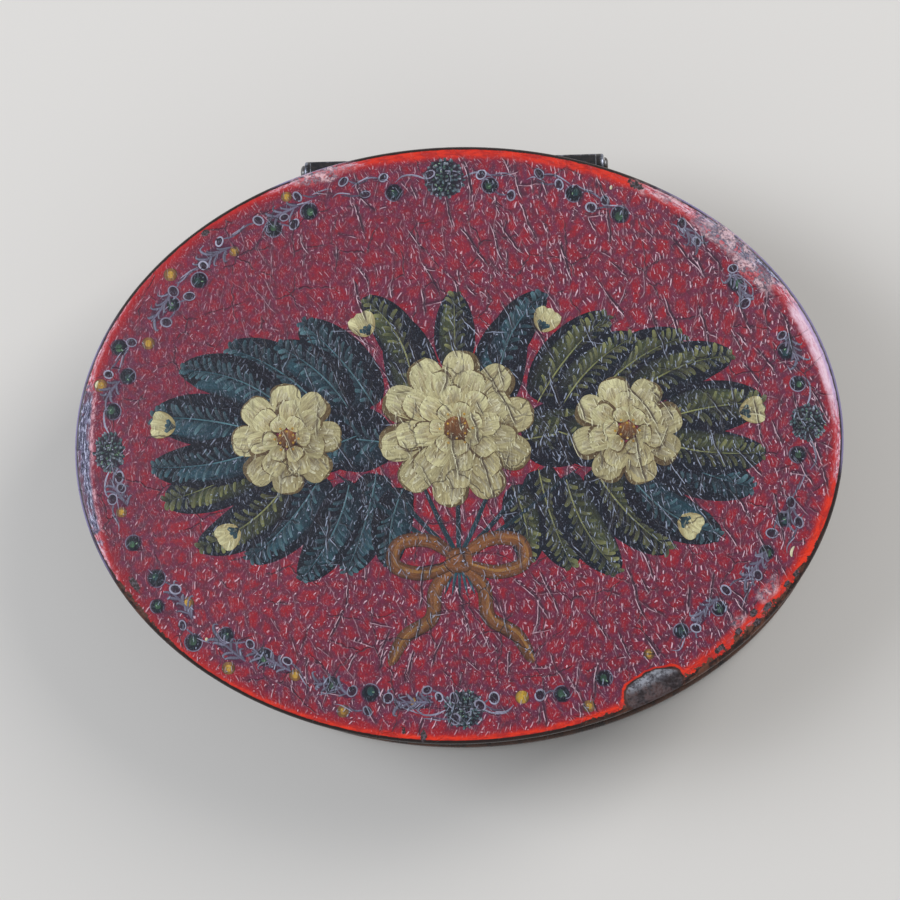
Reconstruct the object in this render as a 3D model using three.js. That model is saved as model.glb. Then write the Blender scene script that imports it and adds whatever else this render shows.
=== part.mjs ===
// An oval snuff box of japanned tinplate, with a lid on a long straight hinge at the back.
// Millimetres, +Z up. The origin is on the table, under the middle of the box.
// The front is towards -Y, the hinge lies along X at the back, and the lid's long axis is X.

import * as THREE from "three";

// Driving dimensions

const lidLength = 86; // over the lid's rolled rim, left to right
const lidWidth = 67.1; // over the lid's rolled rim, front to back
const bodyHeight = 15.5; // from the table to the line where lid and body part
const skirtHeight = 5; // the lid's upright band
const domeRise = 1.3; // how far the middle of the lid stands above its edge
const domePower = 2.4; // higher keeps the lid flat further out from its middle
const sheet = 0.5; // tinplate of the plates and bands
const rimOverhang = 0.8; // how far the rolled rim stands out past the lid's band
const solderGap = 0.1; // between two sheets that are soldered together

// The base plate is raised a little, and its edge is folded round the bottom of the wall
const footDepth = 0.8; // from the table up to the underside of the base plate
const foldHeight = 2.2; // the outer leg of the fold, which shows as a band round the foot
const foldRound = 0.3; // rounding of the fold's corners

// A collar inside the body guides the lid and keeps it tight
const collarSheet = 0.4;
const collarHeight = 8;
const collarRise = 2.5; // how much of it stands above the body
const lidClearance = 0.2; // between the collar and the lid's band

// The hinge: tube knuckles on a pin, soldered in the grooves of two bearers
const hingeLength = 34;
const knuckleCount = 7; // odd, so that the body has the outer two
const knuckleRadius = 1.25;
const knuckleGap = 0.12; // along the pin, between two knuckles
const knuckleChamfer = 0.12;
const hingeSetback = 0.35; // the barrel's back is this far inside the lid's outline
const pinRadius = 0.5;
const pinClearance = 0.06;
const pinHeadRadius = 0.85;
const pinHeadHeight = 0.4;
const pinPlay = 0.1; // between a pin head and the end knuckle
const bearerHeight = 3;
const bearerWeb = 0.5; // bearer metal left between the wall and the groove
const grooveClearance = 0.06; // round the knuckles that turn in a bearer
const bearerGap = 0.16; // between the two bearers, with the lid shut
const bearerEndGap = 0.6; // from a bearer's end to the corner of the wall's flat
const openAngle = 110; // degrees, where the bearers' back edges stop the lid
const stopPlay = 3; // degrees left between those edges at that angle

// Fineness of the round shapes
const ovalSteps = 72;
const domeSteps = 8;
const rollSteps = 6;
const grooveSteps = 14;
const barrelSides = 24;
const pinSides = 20;

// Colours

const finishes = {
  redLacquer: new THREE.MeshStandardMaterial({ color: 0x8c1b22, roughness: 0.28, metalness: 0 }),
  blackJapan: new THREE.MeshStandardMaterial({ color: 0x17110f, roughness: 0.35, metalness: 0 }),
  dullTin: new THREE.MeshStandardMaterial({ color: 0x7d7970, roughness: 0.5, metalness: 1 }),
  hingeMetal: new THREE.MeshStandardMaterial({ color: 0x6a6d70, roughness: 0.38, metalness: 1 }),
  pinIron: new THREE.MeshStandardMaterial({ color: 0x55504b, roughness: 0.45, metalness: 1 }),
};

// Sizes worked out from those above. An inset is measured inwards from the lid's outline.

const lidTop = bodyHeight + skirtHeight; // where the lid's band meets its plate
const wallInset = rimOverhang;
const wallInnerInset = wallInset + sheet;
const collarInset = wallInnerInset + lidClearance;
const collarInnerInset = collarInset + collarSheet;
const grooveRadius = knuckleRadius + grooveClearance;
const hingeY = lidWidth / 2 - hingeSetback - knuckleRadius;
const wallFlatY = hingeY - grooveRadius - bearerWeb - solderGap; // outer face of the wall's flat
const flatHalf = (lidLength / 2 - wallInset) * Math.cos(cornerAngle(wallInset));
const bearerLength = 2 * (flatHalf - bearerEndGap);
const knucklePitch = (hingeLength + knuckleGap) / knuckleCount;
const knuckleLength = knucklePitch - knuckleGap;

// Outlines

// Where the ellipse at this inset meets the straight part at the back, as an ellipse angle.
function cornerAngle(inset) {
  return Math.asin(flatY(inset) / (lidWidth / 2 - inset));
}

function flatY(inset) {
  return wallFlatY + wallInset - inset;
}

// The lid plate's outline: a whole ellipse.
function ovalOutline(inset) {
  const curve = new THREE.EllipseCurve(0, 0, lidLength / 2 - inset, lidWidth / 2 - inset);
  return curve.getPoints(ovalSteps).slice(0, -1);
}

// The outline of the walls: the same ellipse, cut straight across for the hinge.
function walledOutline(inset) {
  const corner = cornerAngle(inset);
  const curve = new THREE.EllipseCurve(
    0,
    0,
    lidLength / 2 - inset,
    lidWidth / 2 - inset,
    Math.PI - corner,
    2 * Math.PI + corner,
  );
  return curve.getPoints(ovalSteps);
}

// Shapes

// An upright band of sheet metal between two insets.
function band(outerInset, innerInset, bottom, top) {
  const shape = new THREE.Shape(walledOutline(outerInset));
  shape.holes.push(new THREE.Path(walledOutline(innerInset)));
  const geometry = new THREE.ExtrudeGeometry(shape, { depth: top - bottom, bevelEnabled: false });
  return geometry.translate(0, 0, bottom);
}

// A solid skinned over rings that run from the middle of its underside, out round its edge and
// back to the middle of its top. Each ring is { points, z }, all with as many points.
function skinned(rings) {
  const around = rings[0].points.length;
  const positions = [0, 0, rings[0].z];
  for (const { points, z } of rings) {
    for (const point of points) positions.push(point.x, point.y, z);
  }
  positions.push(0, 0, rings.at(-1).z);
  const underMiddle = 0;
  const topMiddle = 1 + rings.length * around;
  const indices = [];
  for (let i = 0; i < around; i++) {
    const next = (i + 1) % around;
    indices.push(underMiddle, 1 + next, 1 + i);
    for (let ring = 0; ring < rings.length - 1; ring++) {
      const inner = 1 + ring * around;
      const outer = inner + around;
      indices.push(inner + i, inner + next, outer + next);
      indices.push(inner + i, outer + next, outer + i);
    }
    indices.push(topMiddle, topMiddle - around + i, topMiddle - around + next);
  }
  const geometry = new THREE.BufferGeometry();
  geometry.setAttribute("position", new THREE.Float32BufferAttribute(positions, 3));
  geometry.setIndex(indices);
  geometry.computeVertexNormals();
  return geometry;
}

// A round corner of the profile, as { inset, z } points, from one angle to another. Angle 0
// points outwards and 90 degrees points up.
function profileArc(inset, z, radius, fromDegrees, toDegrees, steps) {
  const points = [];
  for (let i = 0; i <= steps; i++) {
    const angle = THREE.MathUtils.degToRad(THREE.MathUtils.lerp(fromDegrees, toDegrees, i / steps));
    points.push({ inset: inset - radius * Math.cos(angle), z: z + radius * Math.sin(angle) });
  }
  return points;
}

function baseGeometry() {
  const outside = wallInset - solderGap - sheet; // outer face of the fold
  const pocketOuter = wallInset - solderGap; // the pocket that the wall stands in
  const pocketInner = wallInnerInset + solderGap;
  const inside = pocketInner + sheet; // inner face of the foot
  const legRound = Math.min(foldRound, sheet / 2);
  const profile = [
    { inset: inside, z: footDepth },
    ...profileArc(inside - foldRound, foldRound, foldRound, 180, 270, 2),
    ...profileArc(outside + foldRound, foldRound, foldRound, 270, 360, 2),
    ...profileArc(outside + legRound, foldHeight - legRound, legRound, 0, 90, 2),
    { inset: pocketOuter, z: foldHeight },
    { inset: pocketOuter, z: sheet },
    { inset: pocketInner, z: sheet },
    { inset: pocketInner, z: footDepth + sheet },
  ];
  return skinned(profile.map(({ inset, z }) => ({ points: walledOutline(inset), z })));
}

// Height of the dome at a share of the way from the middle of the lid to its edge.
function domeHeight(share) {
  return domeRise * (1 - share ** domePower);
}

function domeRings(edgeInset, edgeZ, shares) {
  return shares.map((share) => ({
    points: ovalOutline(edgeInset).map((point) => point.multiplyScalar(share)),
    z: edgeZ + domeHeight(share),
  }));
}

function lidPlateGeometry() {
  const outwards = Array.from({ length: domeSteps }, (_, i) => (i + 1) / domeSteps);
  const seatInset = wallInnerInset + lidClearance; // the underside is flat from here out
  const lipInset = wallInset - solderGap; // inner face of the rolled rim
  const rollRadius = sheet;
  const roll = [
    { inset: lipInset, z: lidTop },
    { inset: lipInset, z: lidTop - rollRadius * 0.8 },
    ...profileArc(rollRadius, lidTop, rollRadius, -90, 90, rollSteps),
  ];
  return skinned([
    ...domeRings(seatInset, lidTop, outwards),
    ...roll.map(({ inset, z }) => ({ points: ovalOutline(inset), z })),
    ...domeRings(rollRadius, lidTop + sheet, outwards.slice(0, -1).reverse()),
  ]);
}

// Turns a profile drawn in (Y, Z) and extruded along the third axis to lie along X, centred.
function alongX(geometry, length) {
  const turn = new THREE.Matrix4().makeBasis(
    new THREE.Vector3(0, 1, 0),
    new THREE.Vector3(0, 0, 1),
    new THREE.Vector3(1, 0, 0),
  );
  return geometry.applyMatrix4(turn).translate(-length / 2, 0, 0);
}

// A bearer's section, about the hinge axis. side is -1 for the body's and 1 for the lid's.
// Its groove ends at the back where the other bearer's edge meets it when the lid is open.
function bearerGeometry(side) {
  const stopAngle = THREE.MathUtils.degToRad((openAngle + stopPlay) / 2);
  const frontAngle = Math.PI - Math.asin(bearerGap / 2 / grooveRadius);
  const front = -(grooveRadius + bearerWeb);
  const back = grooveRadius * Math.cos(stopAngle);
  const section = new THREE.Shape();
  section.moveTo(front, side * bearerHeight);
  section.lineTo(back, side * bearerHeight);
  section.absarc(0, 0, grooveRadius, side * stopAngle, side * frontAngle, side < 0);
  section.lineTo(front, (side * bearerGap) / 2);
  const geometry = new THREE.ExtrudeGeometry(section, {
    depth: bearerLength,
    bevelEnabled: false,
    curveSegments: grooveSteps,
  });
  return alongX(geometry, bearerLength);
}

// A lathe profile of (radius, height along the axis), turned to lie along X.
function turned(profile, sides) {
  const points = profile.map(([radius, height]) => new THREE.Vector2(radius, height));
  return new THREE.LatheGeometry(points, sides).rotateZ(-Math.PI / 2);
}

function knuckleGeometry() {
  const half = knuckleLength / 2;
  const bore = pinRadius + pinClearance;
  const shoulder = knuckleRadius - knuckleChamfer;
  const profile = [
    [bore, -half],
    [shoulder, -half],
    [knuckleRadius, knuckleChamfer - half],
    [knuckleRadius, half - knuckleChamfer],
    [shoulder, half],
    [bore, half],
    [bore, -half],
  ];
  return turned(profile, barrelSides);
}

function pinGeometry() {
  const neck = hingeLength / 2 + pinPlay;
  const head = [
    [pinRadius, neck],
    [pinHeadRadius, neck],
    [pinHeadRadius * 0.94, neck + pinHeadHeight * 0.5],
    [pinHeadRadius * 0.62, neck + pinHeadHeight * 0.86],
    [0, neck + pinHeadHeight],
  ];
  const otherHead = head.map(([radius, height]) => [radius, -height]).reverse();
  return turned([...otherHead, ...head], pinSides);
}

// Assembly

const snuffBox = new THREE.Group();

function add(name, geometry, finish, x = 0, y = 0, z = 0) {
  const mesh = new THREE.Mesh(geometry, finish);
  mesh.name = name;
  mesh.position.set(x, y, z);
  snuffBox.add(mesh);
}

const collarTop = bodyHeight + collarRise;

add("base_plate", baseGeometry(), finishes.blackJapan);
add("body_wall", band(wallInset, wallInnerInset, sheet, bodyHeight), finishes.blackJapan);
add(
  "inner_collar",
  band(collarInset, collarInnerInset, collarTop - collarHeight, collarTop),
  finishes.dullTin,
);
add("lid_skirt", band(wallInset, wallInnerInset, bodyHeight, lidTop), finishes.blackJapan);
add("lid_plate", lidPlateGeometry(), finishes.redLacquer);

add("body_hinge_bearer", bearerGeometry(-1), finishes.hingeMetal, 0, hingeY, bodyHeight);
add("lid_hinge_bearer", bearerGeometry(1), finishes.hingeMetal, 0, hingeY, bodyHeight);
for (let i = 0; i < knuckleCount; i++) {
  const owner = i % 2 === 0 ? "body" : "lid";
  const x = (i - (knuckleCount - 1) / 2) * knucklePitch;
  add(`${owner}_knuckle_${i + 1}`, knuckleGeometry(), finishes.hingeMetal, x, hingeY, bodyHeight);
}
add("hinge_pin", pinGeometry(), finishes.pinIron, 0, hingeY, bodyHeight);

export default snuffBox;
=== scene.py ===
"""An oval lacquered snuff box with a painted lid on a long hinge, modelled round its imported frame."""
import math
import random

import bmesh
import bpy
from bmesh.types import BMEdge, BMVert
from bpy.props import FloatProperty, FloatVectorProperty, PointerProperty
from mathutils import Matrix, Vector, noise


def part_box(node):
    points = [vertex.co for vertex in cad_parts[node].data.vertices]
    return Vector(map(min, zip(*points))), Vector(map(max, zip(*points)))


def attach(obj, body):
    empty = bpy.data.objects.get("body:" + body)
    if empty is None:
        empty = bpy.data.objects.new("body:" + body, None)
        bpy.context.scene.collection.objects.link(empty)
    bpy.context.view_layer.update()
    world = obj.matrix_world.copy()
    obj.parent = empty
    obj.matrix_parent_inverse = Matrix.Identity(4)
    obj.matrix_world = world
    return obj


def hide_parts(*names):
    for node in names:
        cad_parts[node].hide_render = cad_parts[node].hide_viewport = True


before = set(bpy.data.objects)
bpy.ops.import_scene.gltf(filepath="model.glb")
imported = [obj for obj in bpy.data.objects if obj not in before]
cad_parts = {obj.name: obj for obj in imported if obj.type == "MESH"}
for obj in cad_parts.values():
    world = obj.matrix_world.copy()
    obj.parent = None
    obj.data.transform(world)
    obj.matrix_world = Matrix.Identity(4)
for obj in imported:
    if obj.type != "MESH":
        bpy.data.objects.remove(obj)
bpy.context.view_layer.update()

bl_info = {
    "name": "Oval Snuff Box",
    "version": (1, 0, 0),
    "blender": (4, 5, 0),
    "location": "3D View > Sidebar > Snuff Box",
    "description": "An oval lacquered box with a painted, crackled lid on a long hinge",
    "category": "Add Mesh",
}

MM = 0.001

# How close two points are one point, and how small a share counts as none
SAME_PLACE = 1e-7
SMALL = 1e-6

# Places and sizes that come from the frame
LID_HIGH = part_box("lid_plate")[1]
SKIRT_LOW, SKIRT_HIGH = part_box("lid_skirt")
WALL_LOW, WALL_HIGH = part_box("body_wall")
COLLAR_LOW, COLLAR_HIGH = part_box("inner_collar")
BASE_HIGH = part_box("base_plate")[1]
PIN_LOW, PIN_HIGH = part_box("hinge_pin")
HALF_LENGTH = LID_HIGH.x
HALF_WIDTH = LID_HIGH.y
WALL_INSET = HALF_LENGTH - WALL_HIGH.x
WALL_FLAT = WALL_HIGH.y
COLLAR_INSET = HALF_LENGTH - COLLAR_HIGH.x
FOOT_INSET = HALF_LENGTH - BASE_HIGH.x
PARTING = WALL_HIGH.z
LID_SEAT = SKIRT_HIGH.z
HINGE_Y = (PIN_LOW.y + PIN_HIGH.y) / 2
HINGE_Z = (PIN_LOW.z + PIN_HIGH.z) / 2
FULL_TURN = 2 * math.pi

# Fineness of the round shapes
LID_STEPS = 720
WALL_STEPS = 360
BARREL_STEPS = 48

# The camera fitted to the lid's outline in the photograph
PHOTO_SIDE = 900
SENSOR_WIDTH = 36
PHOTO_DISTANCE = 0.45
PHOTO_TILT = math.radians(6)
PHOTO_YAW = math.radians(3)
PHOTO_ROLL = math.radians(-1.12)
PHOTO_LENS = 161.1
PHOTO_AIM = (-0.85 * MM, -0.72 * MM, 20.5 * MM)
PHOTO_LID_TOP = 21.6 * MM

# Where the painted ornaments show in the photograph, as pixels. A rosette also has its half
# length along the rim and its half width across it, in mm
ROSETTES = (
    (444, 178, 2.35, 2.35),
    (808, 422, 2.1, 2.0),
    (464, 709, 2.25, 2.2),
    (109, 452, 2.3, 1.75),
)
BERRIES = (
    (394, 192), (309, 211), (273, 228), (199, 280), (172, 304), (119, 347), (127, 376), (112, 411),
    (133, 543), (156, 578), (157, 606), (193, 642), (226, 635), (264, 657), (332, 685), (370, 693),
    (562, 694), (604, 678), (681, 631), (719, 608), (767, 552), (784, 519), (798, 454), (798, 383),
    (786, 351), (736, 283), (620, 214), (574, 193), (490, 185),
)
YELLOW_DOTS = (
    (286, 196), (234, 251), (170, 274), (148, 343), (100, 385), (121, 512), (187, 603), (228, 668),
    (295, 675), (343, 711), (413, 702), (522, 697), (589, 706), (649, 654),
)

# The one yellow dot that is still bright
BRIGHT_DOT = (522, 697)

# A pale fleck also has its length in mm
PALE_FLECKS = ((792, 557, 1.3), (611, 189, 0.5), (96, 388, 0.9), (206, 641, 0.4))
RINGS = (
    (343, 181), (383, 177), (429, 174), (365, 194), (297, 196), (258, 220), (284, 217), (294, 224),
    (219, 241), (203, 265), (173, 291), (189, 296), (166, 322), (131, 342), (108, 374), (119, 477),
    (121, 488), (112, 499), (175, 589), (182, 625), (250, 644), (287, 661), (352, 691), (388, 698),
    (367, 711), (427, 690), (439, 697), (454, 698), (455, 719), (480, 705), (494, 698), (540, 695),
    (696, 628), (726, 590), (758, 575), (772, 533), (799, 522), (791, 502), (782, 335), (745, 303),
    (733, 268), (697, 241), (682, 223), (605, 200), (591, 207), (559, 184), (539, 173), (511, 195),
    (481, 174),
)

# Where each spray starts and ends
SPRAYS = (
    ((172, 290), (150, 322)), ((232, 246), (196, 268)), ((300, 204), (266, 220)), ((680, 222), (702, 246)),
    ((732, 268), (748, 300)), ((784, 332), (800, 362)), ((796, 498), (788, 528)), ((772, 546), (742, 582)),
    ((722, 598), (696, 628)), ((434, 702), (392, 702)), ((352, 698), (312, 684)), ((292, 672), (250, 650)),
    ((246, 662), (214, 634)), ((192, 620), (168, 590)), ((128, 506), (110, 478)), ((120, 380), (104, 402)),
)

# Where the lacquer is lost: (pixel x, pixel y, half length and half width in mm, loss from 0 to 1)
LOSSES = (
    (653, 688, 3.2, 1.75, 1.05),
)

# Small dark bruises, in the same form
BRUISES = (
    (423, 736, 0.35, 0.7, 0.95),
    (403, 731, 0.3, 0.5, 0.7),
    (797, 572, 0.5, 0.3, 0.8),
    (787, 583, 0.5, 0.25, 0.8),
    (768, 606, 0.7, 0.3, 0.9),
    (754, 612, 0.5, 0.35, 0.85),
    (757, 622, 0.5, 0.3, 0.9),
    (739, 631, 0.45, 0.35, 0.9),
    (720, 649, 0.7, 0.35, 0.85),
    (205, 232, 0.5, 0.4, 0.9),
    (636, 184, 1.1, 0.5, 0.7),
    (135, 585, 1.2, 0.4, 0.8),
)

# Where the varnish has bloomed or rubbed pale, in the same form
BLOOMS = (
    (726, 238, 3.6, 1.2, 0.9),
    (752, 270, 3.4, 1.1, 0.9),
    (322, 174, 3.4, 0.9, 0.85),
    (640, 186, 1.6, 0.8, 0.6),
    (668, 198, 2.0, 0.7, 0.6),
    (770, 588, 1.8, 0.9, 0.7),
    (738, 622, 1.2, 0.7, 0.6),
)

# The look of the rim on its way round the lid. Each row: the angle in degrees, the width of the
# worn band in mm, and then from 0 to 1 how orange, how pink-white, how slate and how brown it is
# The pink-white is partly rubbed varnish and partly a painted highlight where the rim catches the light
RIM_LOOKS = (
    (-180, 1.65, 0.0, 0.3, 1.0, 0.0),
    (-168, 1.3, 0.0, 0.4, 0.9, 0.0),
    (-158, 0.9, 0.1, 0.7, 0.2, 0.0),
    (-150, 0.6, 0.3, 0.2, 0.2, 0.5),
    (-142, 0.6, 0.4, 0.1, 0.1, 0.3),
    (-133, 0.6, 0.6, 0.0, 0.0, 0.0),
    (-120, 0.7, 0.9, 0.0, 0.0, 0.0),
    (-100, 0.8, 1.0, 0.0, 0.0, 0.0),
    (-76, 0.85, 1.0, 0.0, 0.0, 0.1),
    (-68, 0.95, 1.0, 0.0, 0.0, 0.4),
    (-57, 1.4, 1.0, 0.0, 0.1, 0.8),
    (-50, 1.5, 0.9, 0.1, 0.2, 0.7),
    (-42, 1.7, 0.8, 0.3, 0.4, 1.0),
    (-32, 1.5, 0.9, 0.25, 0.2, 0.8),
    (-25, 1.3, 1.0, 0.1, 0.0, 0.45),
    (-18, 1.15, 1.0, 0.0, 0.0, 0.1),
    (-11, 1.0, 0.8, 0.2, 0.0, 0.0),
    (-4, 1.0, 0.3, 0.8, 0.2, 0.0),
    (4, 1.25, 0.1, 1.1, 0.2, 0.0),
    (12, 1.7, 0.0, 1.3, 0.1, 0.0),
    (24, 1.8, 0.0, 1.3, 0.1, 0.0),
    (29, 1.4, 0.1, 0.9, 0.3, 0.0),
    (33, 1.5, 0.1, 0.8, 0.9, 0.0),
    (45, 1.5, 0.1, 0.8, 1.0, 0.0),
    (52, 1.5, 0.3, 0.8, 0.3, 0.0),
    (62, 1.2, 0.7, 0.3, 0.1, 0.0),
    (70, 1.15, 0.8, 0.1, 0.0, 0.0),
    (100, 1.15, 0.8, 0.1, 0.0, 0.0),
    (107, 1.0, 0.6, 0.6, 0.2, 0.0),
    (115, 0.9, 0.2, 0.9, 0.3, 0.0),
    (121, 0.75, 0.3, 0.2, 0.0, 0.0),
    (135, 0.7, 0.15, 0.1, 0.0, 0.0),
    (150, 0.7, 0.05, 0.4, 0.1, 0.0),
    (163, 0.9, 0.1, 0.8, 0.3, 0.0),
    (171, 1.4, 0.0, 0.5, 0.9, 0.0),
    (180, 1.65, 0.0, 0.3, 1.0, 0.0),
)
RIM_LAYERS = ("rim_width", "rim_orange", "rim_pink_and_highlight", "rim_slate", "rim_brown")

# What the lid's material reads at each vertex: the way in from the outline in mm, and from 0 to 1
# how much lacquer is lost, what lies inside the box, and how bloomed and bruised the varnish is
LID_LAYERS = ("inset", "loss", "inside", "bloom", "bruise")

# The sets of cracks in the varnish. Each row: their lean in degrees and its spread, the pitch of
# the pattern across and along in mm, half a crack's length in mm, the share of places that hold
# one, and a seed
CRACKS = (
    (-27, 30, (2.6, 6.4), 2.9, 0.62, 3.0),
    (-6, 50, (3.4, 4.6), 1.9, 0.5, 14.0),
    (10, 30, (2.8, 5.6), 2.4, 0.5, 29.0),
    (-64, 80, (3.4, 4.2), 1.5, 0.4, 41.0),
)

# The sets of short painted glints, in the same form but with half a glint's width before half its length
GLINTS = (
    (-14, 60, (0.5, 1.0), 0.07, 0.42, 0.75, 4.0),
    (14, 60, (0.55, 1.1), 0.07, 0.42, 0.65, 17.0),
    (40, 180, (0.6, 0.6), 0.08, 0.12, 0.5, 23.0),
)

# What the varnish's node group takes in and gives out
VARNISH_SOCKETS = (
    ("Colour", "INPUT", "Color"),
    ("Veil", "INPUT", "Float"),
    ("Crack and shade", "INPUT", "Color"),
    ("Glint", "INPUT", "Color"),
    ("Colour", "OUTPUT", "Color"),
    ("Roughness", "OUTPUT", "Float"),
    ("Height", "OUTPUT", "Float"),
)

# A spot of wear: 2 makes it an ellipse and more squares it off. It is felt up to the limit, which
# is a share of its half size
WEAR_SQUARENESS = 2.6
WEAR_LIMIT = 2.2

# How noise is stretched along the rim and squeezed across it, the shade of its streaks, and how
# strongly the varnish over the lid reflects
RIM_STREAK_LENGTH = 38
RIM_STREAK_DEPTH = 3.5
STREAK_SHADE = (0.62, 0.6, 0.6, 1.0)
LID_SPECULAR = 0.33

# The lid: the width of its border, where it curves most, the rows of points across its middle, its
# border and its underside, how raggedly the varnish is bloomed and the lacquer lost, and from which
# loss the lacquer sinks to its full depth, and within how much
BORDER_WIDTH = 2.6 * MM
FIELD_ROWS = 50
BORDER_ROWS = 18
UNDER_ROWS = 20
BLOOM_ROUGHNESS = 0.3
LOSS_ROUGHNESS = 0.14
CHIP_START = 0.42
CHIP_SLOPE = 0.12

# The base: the rows of points across it, how uneven it is and over what length, and how high the
# outer fold is straight, as a share of its height
BASE_ROWS = 14
BASE_SAG = 0.12 * MM
BASE_SAG_LENGTH = 14 * MM
FOLD_STRAIGHT = 0.6

# Small sizes of the hinge, and how rubbed its edges, its faces and its broad middle are: the rubbed edges are
# bright, partly real wear and partly a painted highlight
GROOVE_STEPS = 24
KNUCKLE_ROWS = 8
HEAD_STEPS = 8
HEAD_ROUNDNESS = 0.6
EDGE_RUB_AND_SHINE = 0.75
BROAD_RUB_AND_SHINE = 0.15
BROAD_AREA = 6 * MM * MM
BEARER_BEVEL = 0.07 * MM
BEARER_BORDER = 0.22 * MM
BORE_CHAMFER = 0.05 * MM
SEAM_DEPTH = 0.05 * MM
SEAM_CLEAR = 0.2 * MM
SEAM_ANGLE = math.radians(150)
SEAM_HALF_ANGLE = 0.1

# The petals in each ring of a rosette, from the outside in, how far out the first ring lies and
# how much further in the next, as shares of its half size, and its flecks
ROSETTE_PETALS = (26, 21, 15, 9, 5)
ROSETTE_REACH = 0.92
ROSETTE_STEP = 0.19
ROSETTE_FLECKS = 18

# The layers of paint on which the garland's rings lie, over the rosettes' petals
RING_LEVEL = 8

# The leaves of the bouquet's right half, which the left half mirrors. Each row: x and y of its root
# in mm, its lean in degrees, its length and half width in mm and its bend
LEAVES_BEHIND = (
    (4.0, 3.0, 75, 12.0, 3.4, 0.05),
    (9.0, 4.0, 50, 13.0, 3.4, 0.05),
    (15.0, 4.0, 34, 13.0, 3.4, 0.08),
    (23.0, 2.0, 8, 11.5, 3.4, 0.04),
    (21.0, -1.0, -22, 13.0, 3.4, -0.04),
    (15.0, -3.0, -48, 13.0, 3.4, -0.06),
    (9.0, -3.0, -72, 12.0, 3.2, -0.04),
    (7.0, 0.0, 8, 10.0, 4.2, 0.0),
)
LEAVES_BEFORE = (
    (5.0, 8.0, 58, 10.0, 2.6, 0.10),
    (12.0, 4.0, 42, 11.0, 2.9, 0.08),
    (19.0, 4.0, 22, 13.0, 3.1, 0.10),
    (21.0, 0.0, -8, 13.5, 3.1, -0.06),
    (19.0, -4.0, -34, 12.5, 3.0, -0.10),
    (12.0, -4.0, -62, 12.5, 3.0, -0.08),
    (6.0, -5.0, -80, 9.0, 2.6, 0.08),
    (11.0, 1.0, -20, 8.0, 3.2, 0.0),
)

# The buds of that half: x and y in mm and how far each leans out from upright, in degrees
BUDS = ((9.5, 12.2, 30), (31.5, 2.5, 80), (24.5, -9.0, 125))

# A flower: where across a petal its brush lines lie, as shares of its half width, the seeds round
# its eye, the side that its light comes from, and the layers of paint to a ring of petals
PETAL_LINES = (-0.62, -0.38, -0.14, 0.1, 0.34, 0.58)
EYE_SEEDS = 12
SUNWARD = (-0.5, 0.86)
RING_LAYERS = 3

# The bow's knot, one loop and one tail, and where the stems start, in mm
KNOT = (0, -13.2)
BOW_LOOP = ((0, -13.2), (3.2, -11.0), (6.6, -11.2), (7.2, -13.6), (4.0, -14.6), (0, -13.4))
BOW_TAIL = ((0, -13.6), (2.6, -16.2), (3.2, -19.6), (6.2, -21.6), (8.0, -24.8))
STEM_PLACES = (-12, -8, -4, 0, 4, 8, 12)

# The layers of paint on which the bouquet's pieces start
FRONT_LEAF_LEVEL = 5
STEM_LEVEL = 8
FLOWER_LEVEL = 10
KNOT_LEVEL = 16

# The windows that light the box. Each row: name, place, width, height, power and colour
WINDOWS = (
    ("window_left", (-0.6, 0.12, 0.55), 0.35, 0.7, 3.5, (0.93, 0.95, 1.0)),
    ("window_right", (0.52, 0.4, 0.55), 0.35, 0.6, 3.3, (1.0, 0.97, 0.95)),
)
ROOM_LIGHT = (0.95, 0.97, 1.0, 1.0)


def linear(share):
    return share / 12.92 if share <= 0.04045 else ((share + 0.055) / 1.055) ** 2.4


def srgb(red, green, blue):
    """A colour written as 0 to 255 on screen, as the values that Blender works in."""
    return (linear(red / 255), linear(green / 255), linear(blue / 255), 1.0)


def colour_prop(name, description, red, green, blue):
    return FloatVectorProperty(
        name=name,
        description=description,
        subtype="COLOR",
        size=4,
        min=0.0,
        max=1.0,
        default=srgb(red, green, blue),
    )


def length_prop(name, description, default):
    return FloatProperty(name=name, description=description, default=default, unit="LENGTH", precision=5)


def angle_prop(name, description, default):
    return FloatProperty(name=name, description=description, default=default, unit="ROTATION")


class SnuffBoxSizes(bpy.types.PropertyGroup):
    """Sizes of the box that the frame's boxes don't tell."""

    sheet: length_prop("Sheet", "Thickness of the tinplate", 0.5 * MM)
    collar_sheet: length_prop("Collar sheet", "Thickness of the lining collar", 0.4 * MM)
    edge_round: length_prop("Edge rounding", "Rounding of the sheet's cut edges", 0.1 * MM)
    fold_round: length_prop("Fold rounding", "Rounding of the foot's folded edge", 0.3 * MM)
    solder_gap: length_prop("Solder gap", "Gap between two soldered sheets", 0.1 * MM)
    corner_round: length_prop("Corner rounding", "Softness of the corners of the wall's flat", 0.25 * MM)
    foot_depth: length_prop("Foot depth", "From the table up to the base plate", 0.8 * MM)
    dome_rise: length_prop("Dome rise", "How far the lid's middle stands above its edge", 1.14 * MM)
    dome_power: FloatProperty(name="Dome power", description="Higher is flatter", default=2.4)
    paint_height: length_prop("Paint height", "How far a brush stroke stands up", 0.018 * MM)
    paint_layer: length_prop("Paint layer", "From one layer of strokes up to the next", 0.0045 * MM)
    unevenness: length_prop("Unevenness", "Waviness of the lacquered top", 0.025 * MM)
    chip_depth: length_prop("Chip depth", "How deep the lacquer is chipped", 0.16 * MM)
    groove_clearance: length_prop("Groove clearance", "Round the knuckles", 0.06 * MM)
    bearer_gap: length_prop("Bearer gap", "Between the two bearers when shut", 0.16 * MM)
    knuckle_chamfer: length_prop("Knuckle chamfer", "Bevel at a knuckle's ends", 0.16 * MM)
    pin_clearance: length_prop("Pin clearance", "Between the pin and the bores", 0.06 * MM)
    pin_radius: length_prop("Pin radius", "Radius of the hinge wire", 0.5 * MM)
    pin_head: length_prop("Pin head height", "How far a peened head stands out", 0.4 * MM)


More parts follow.
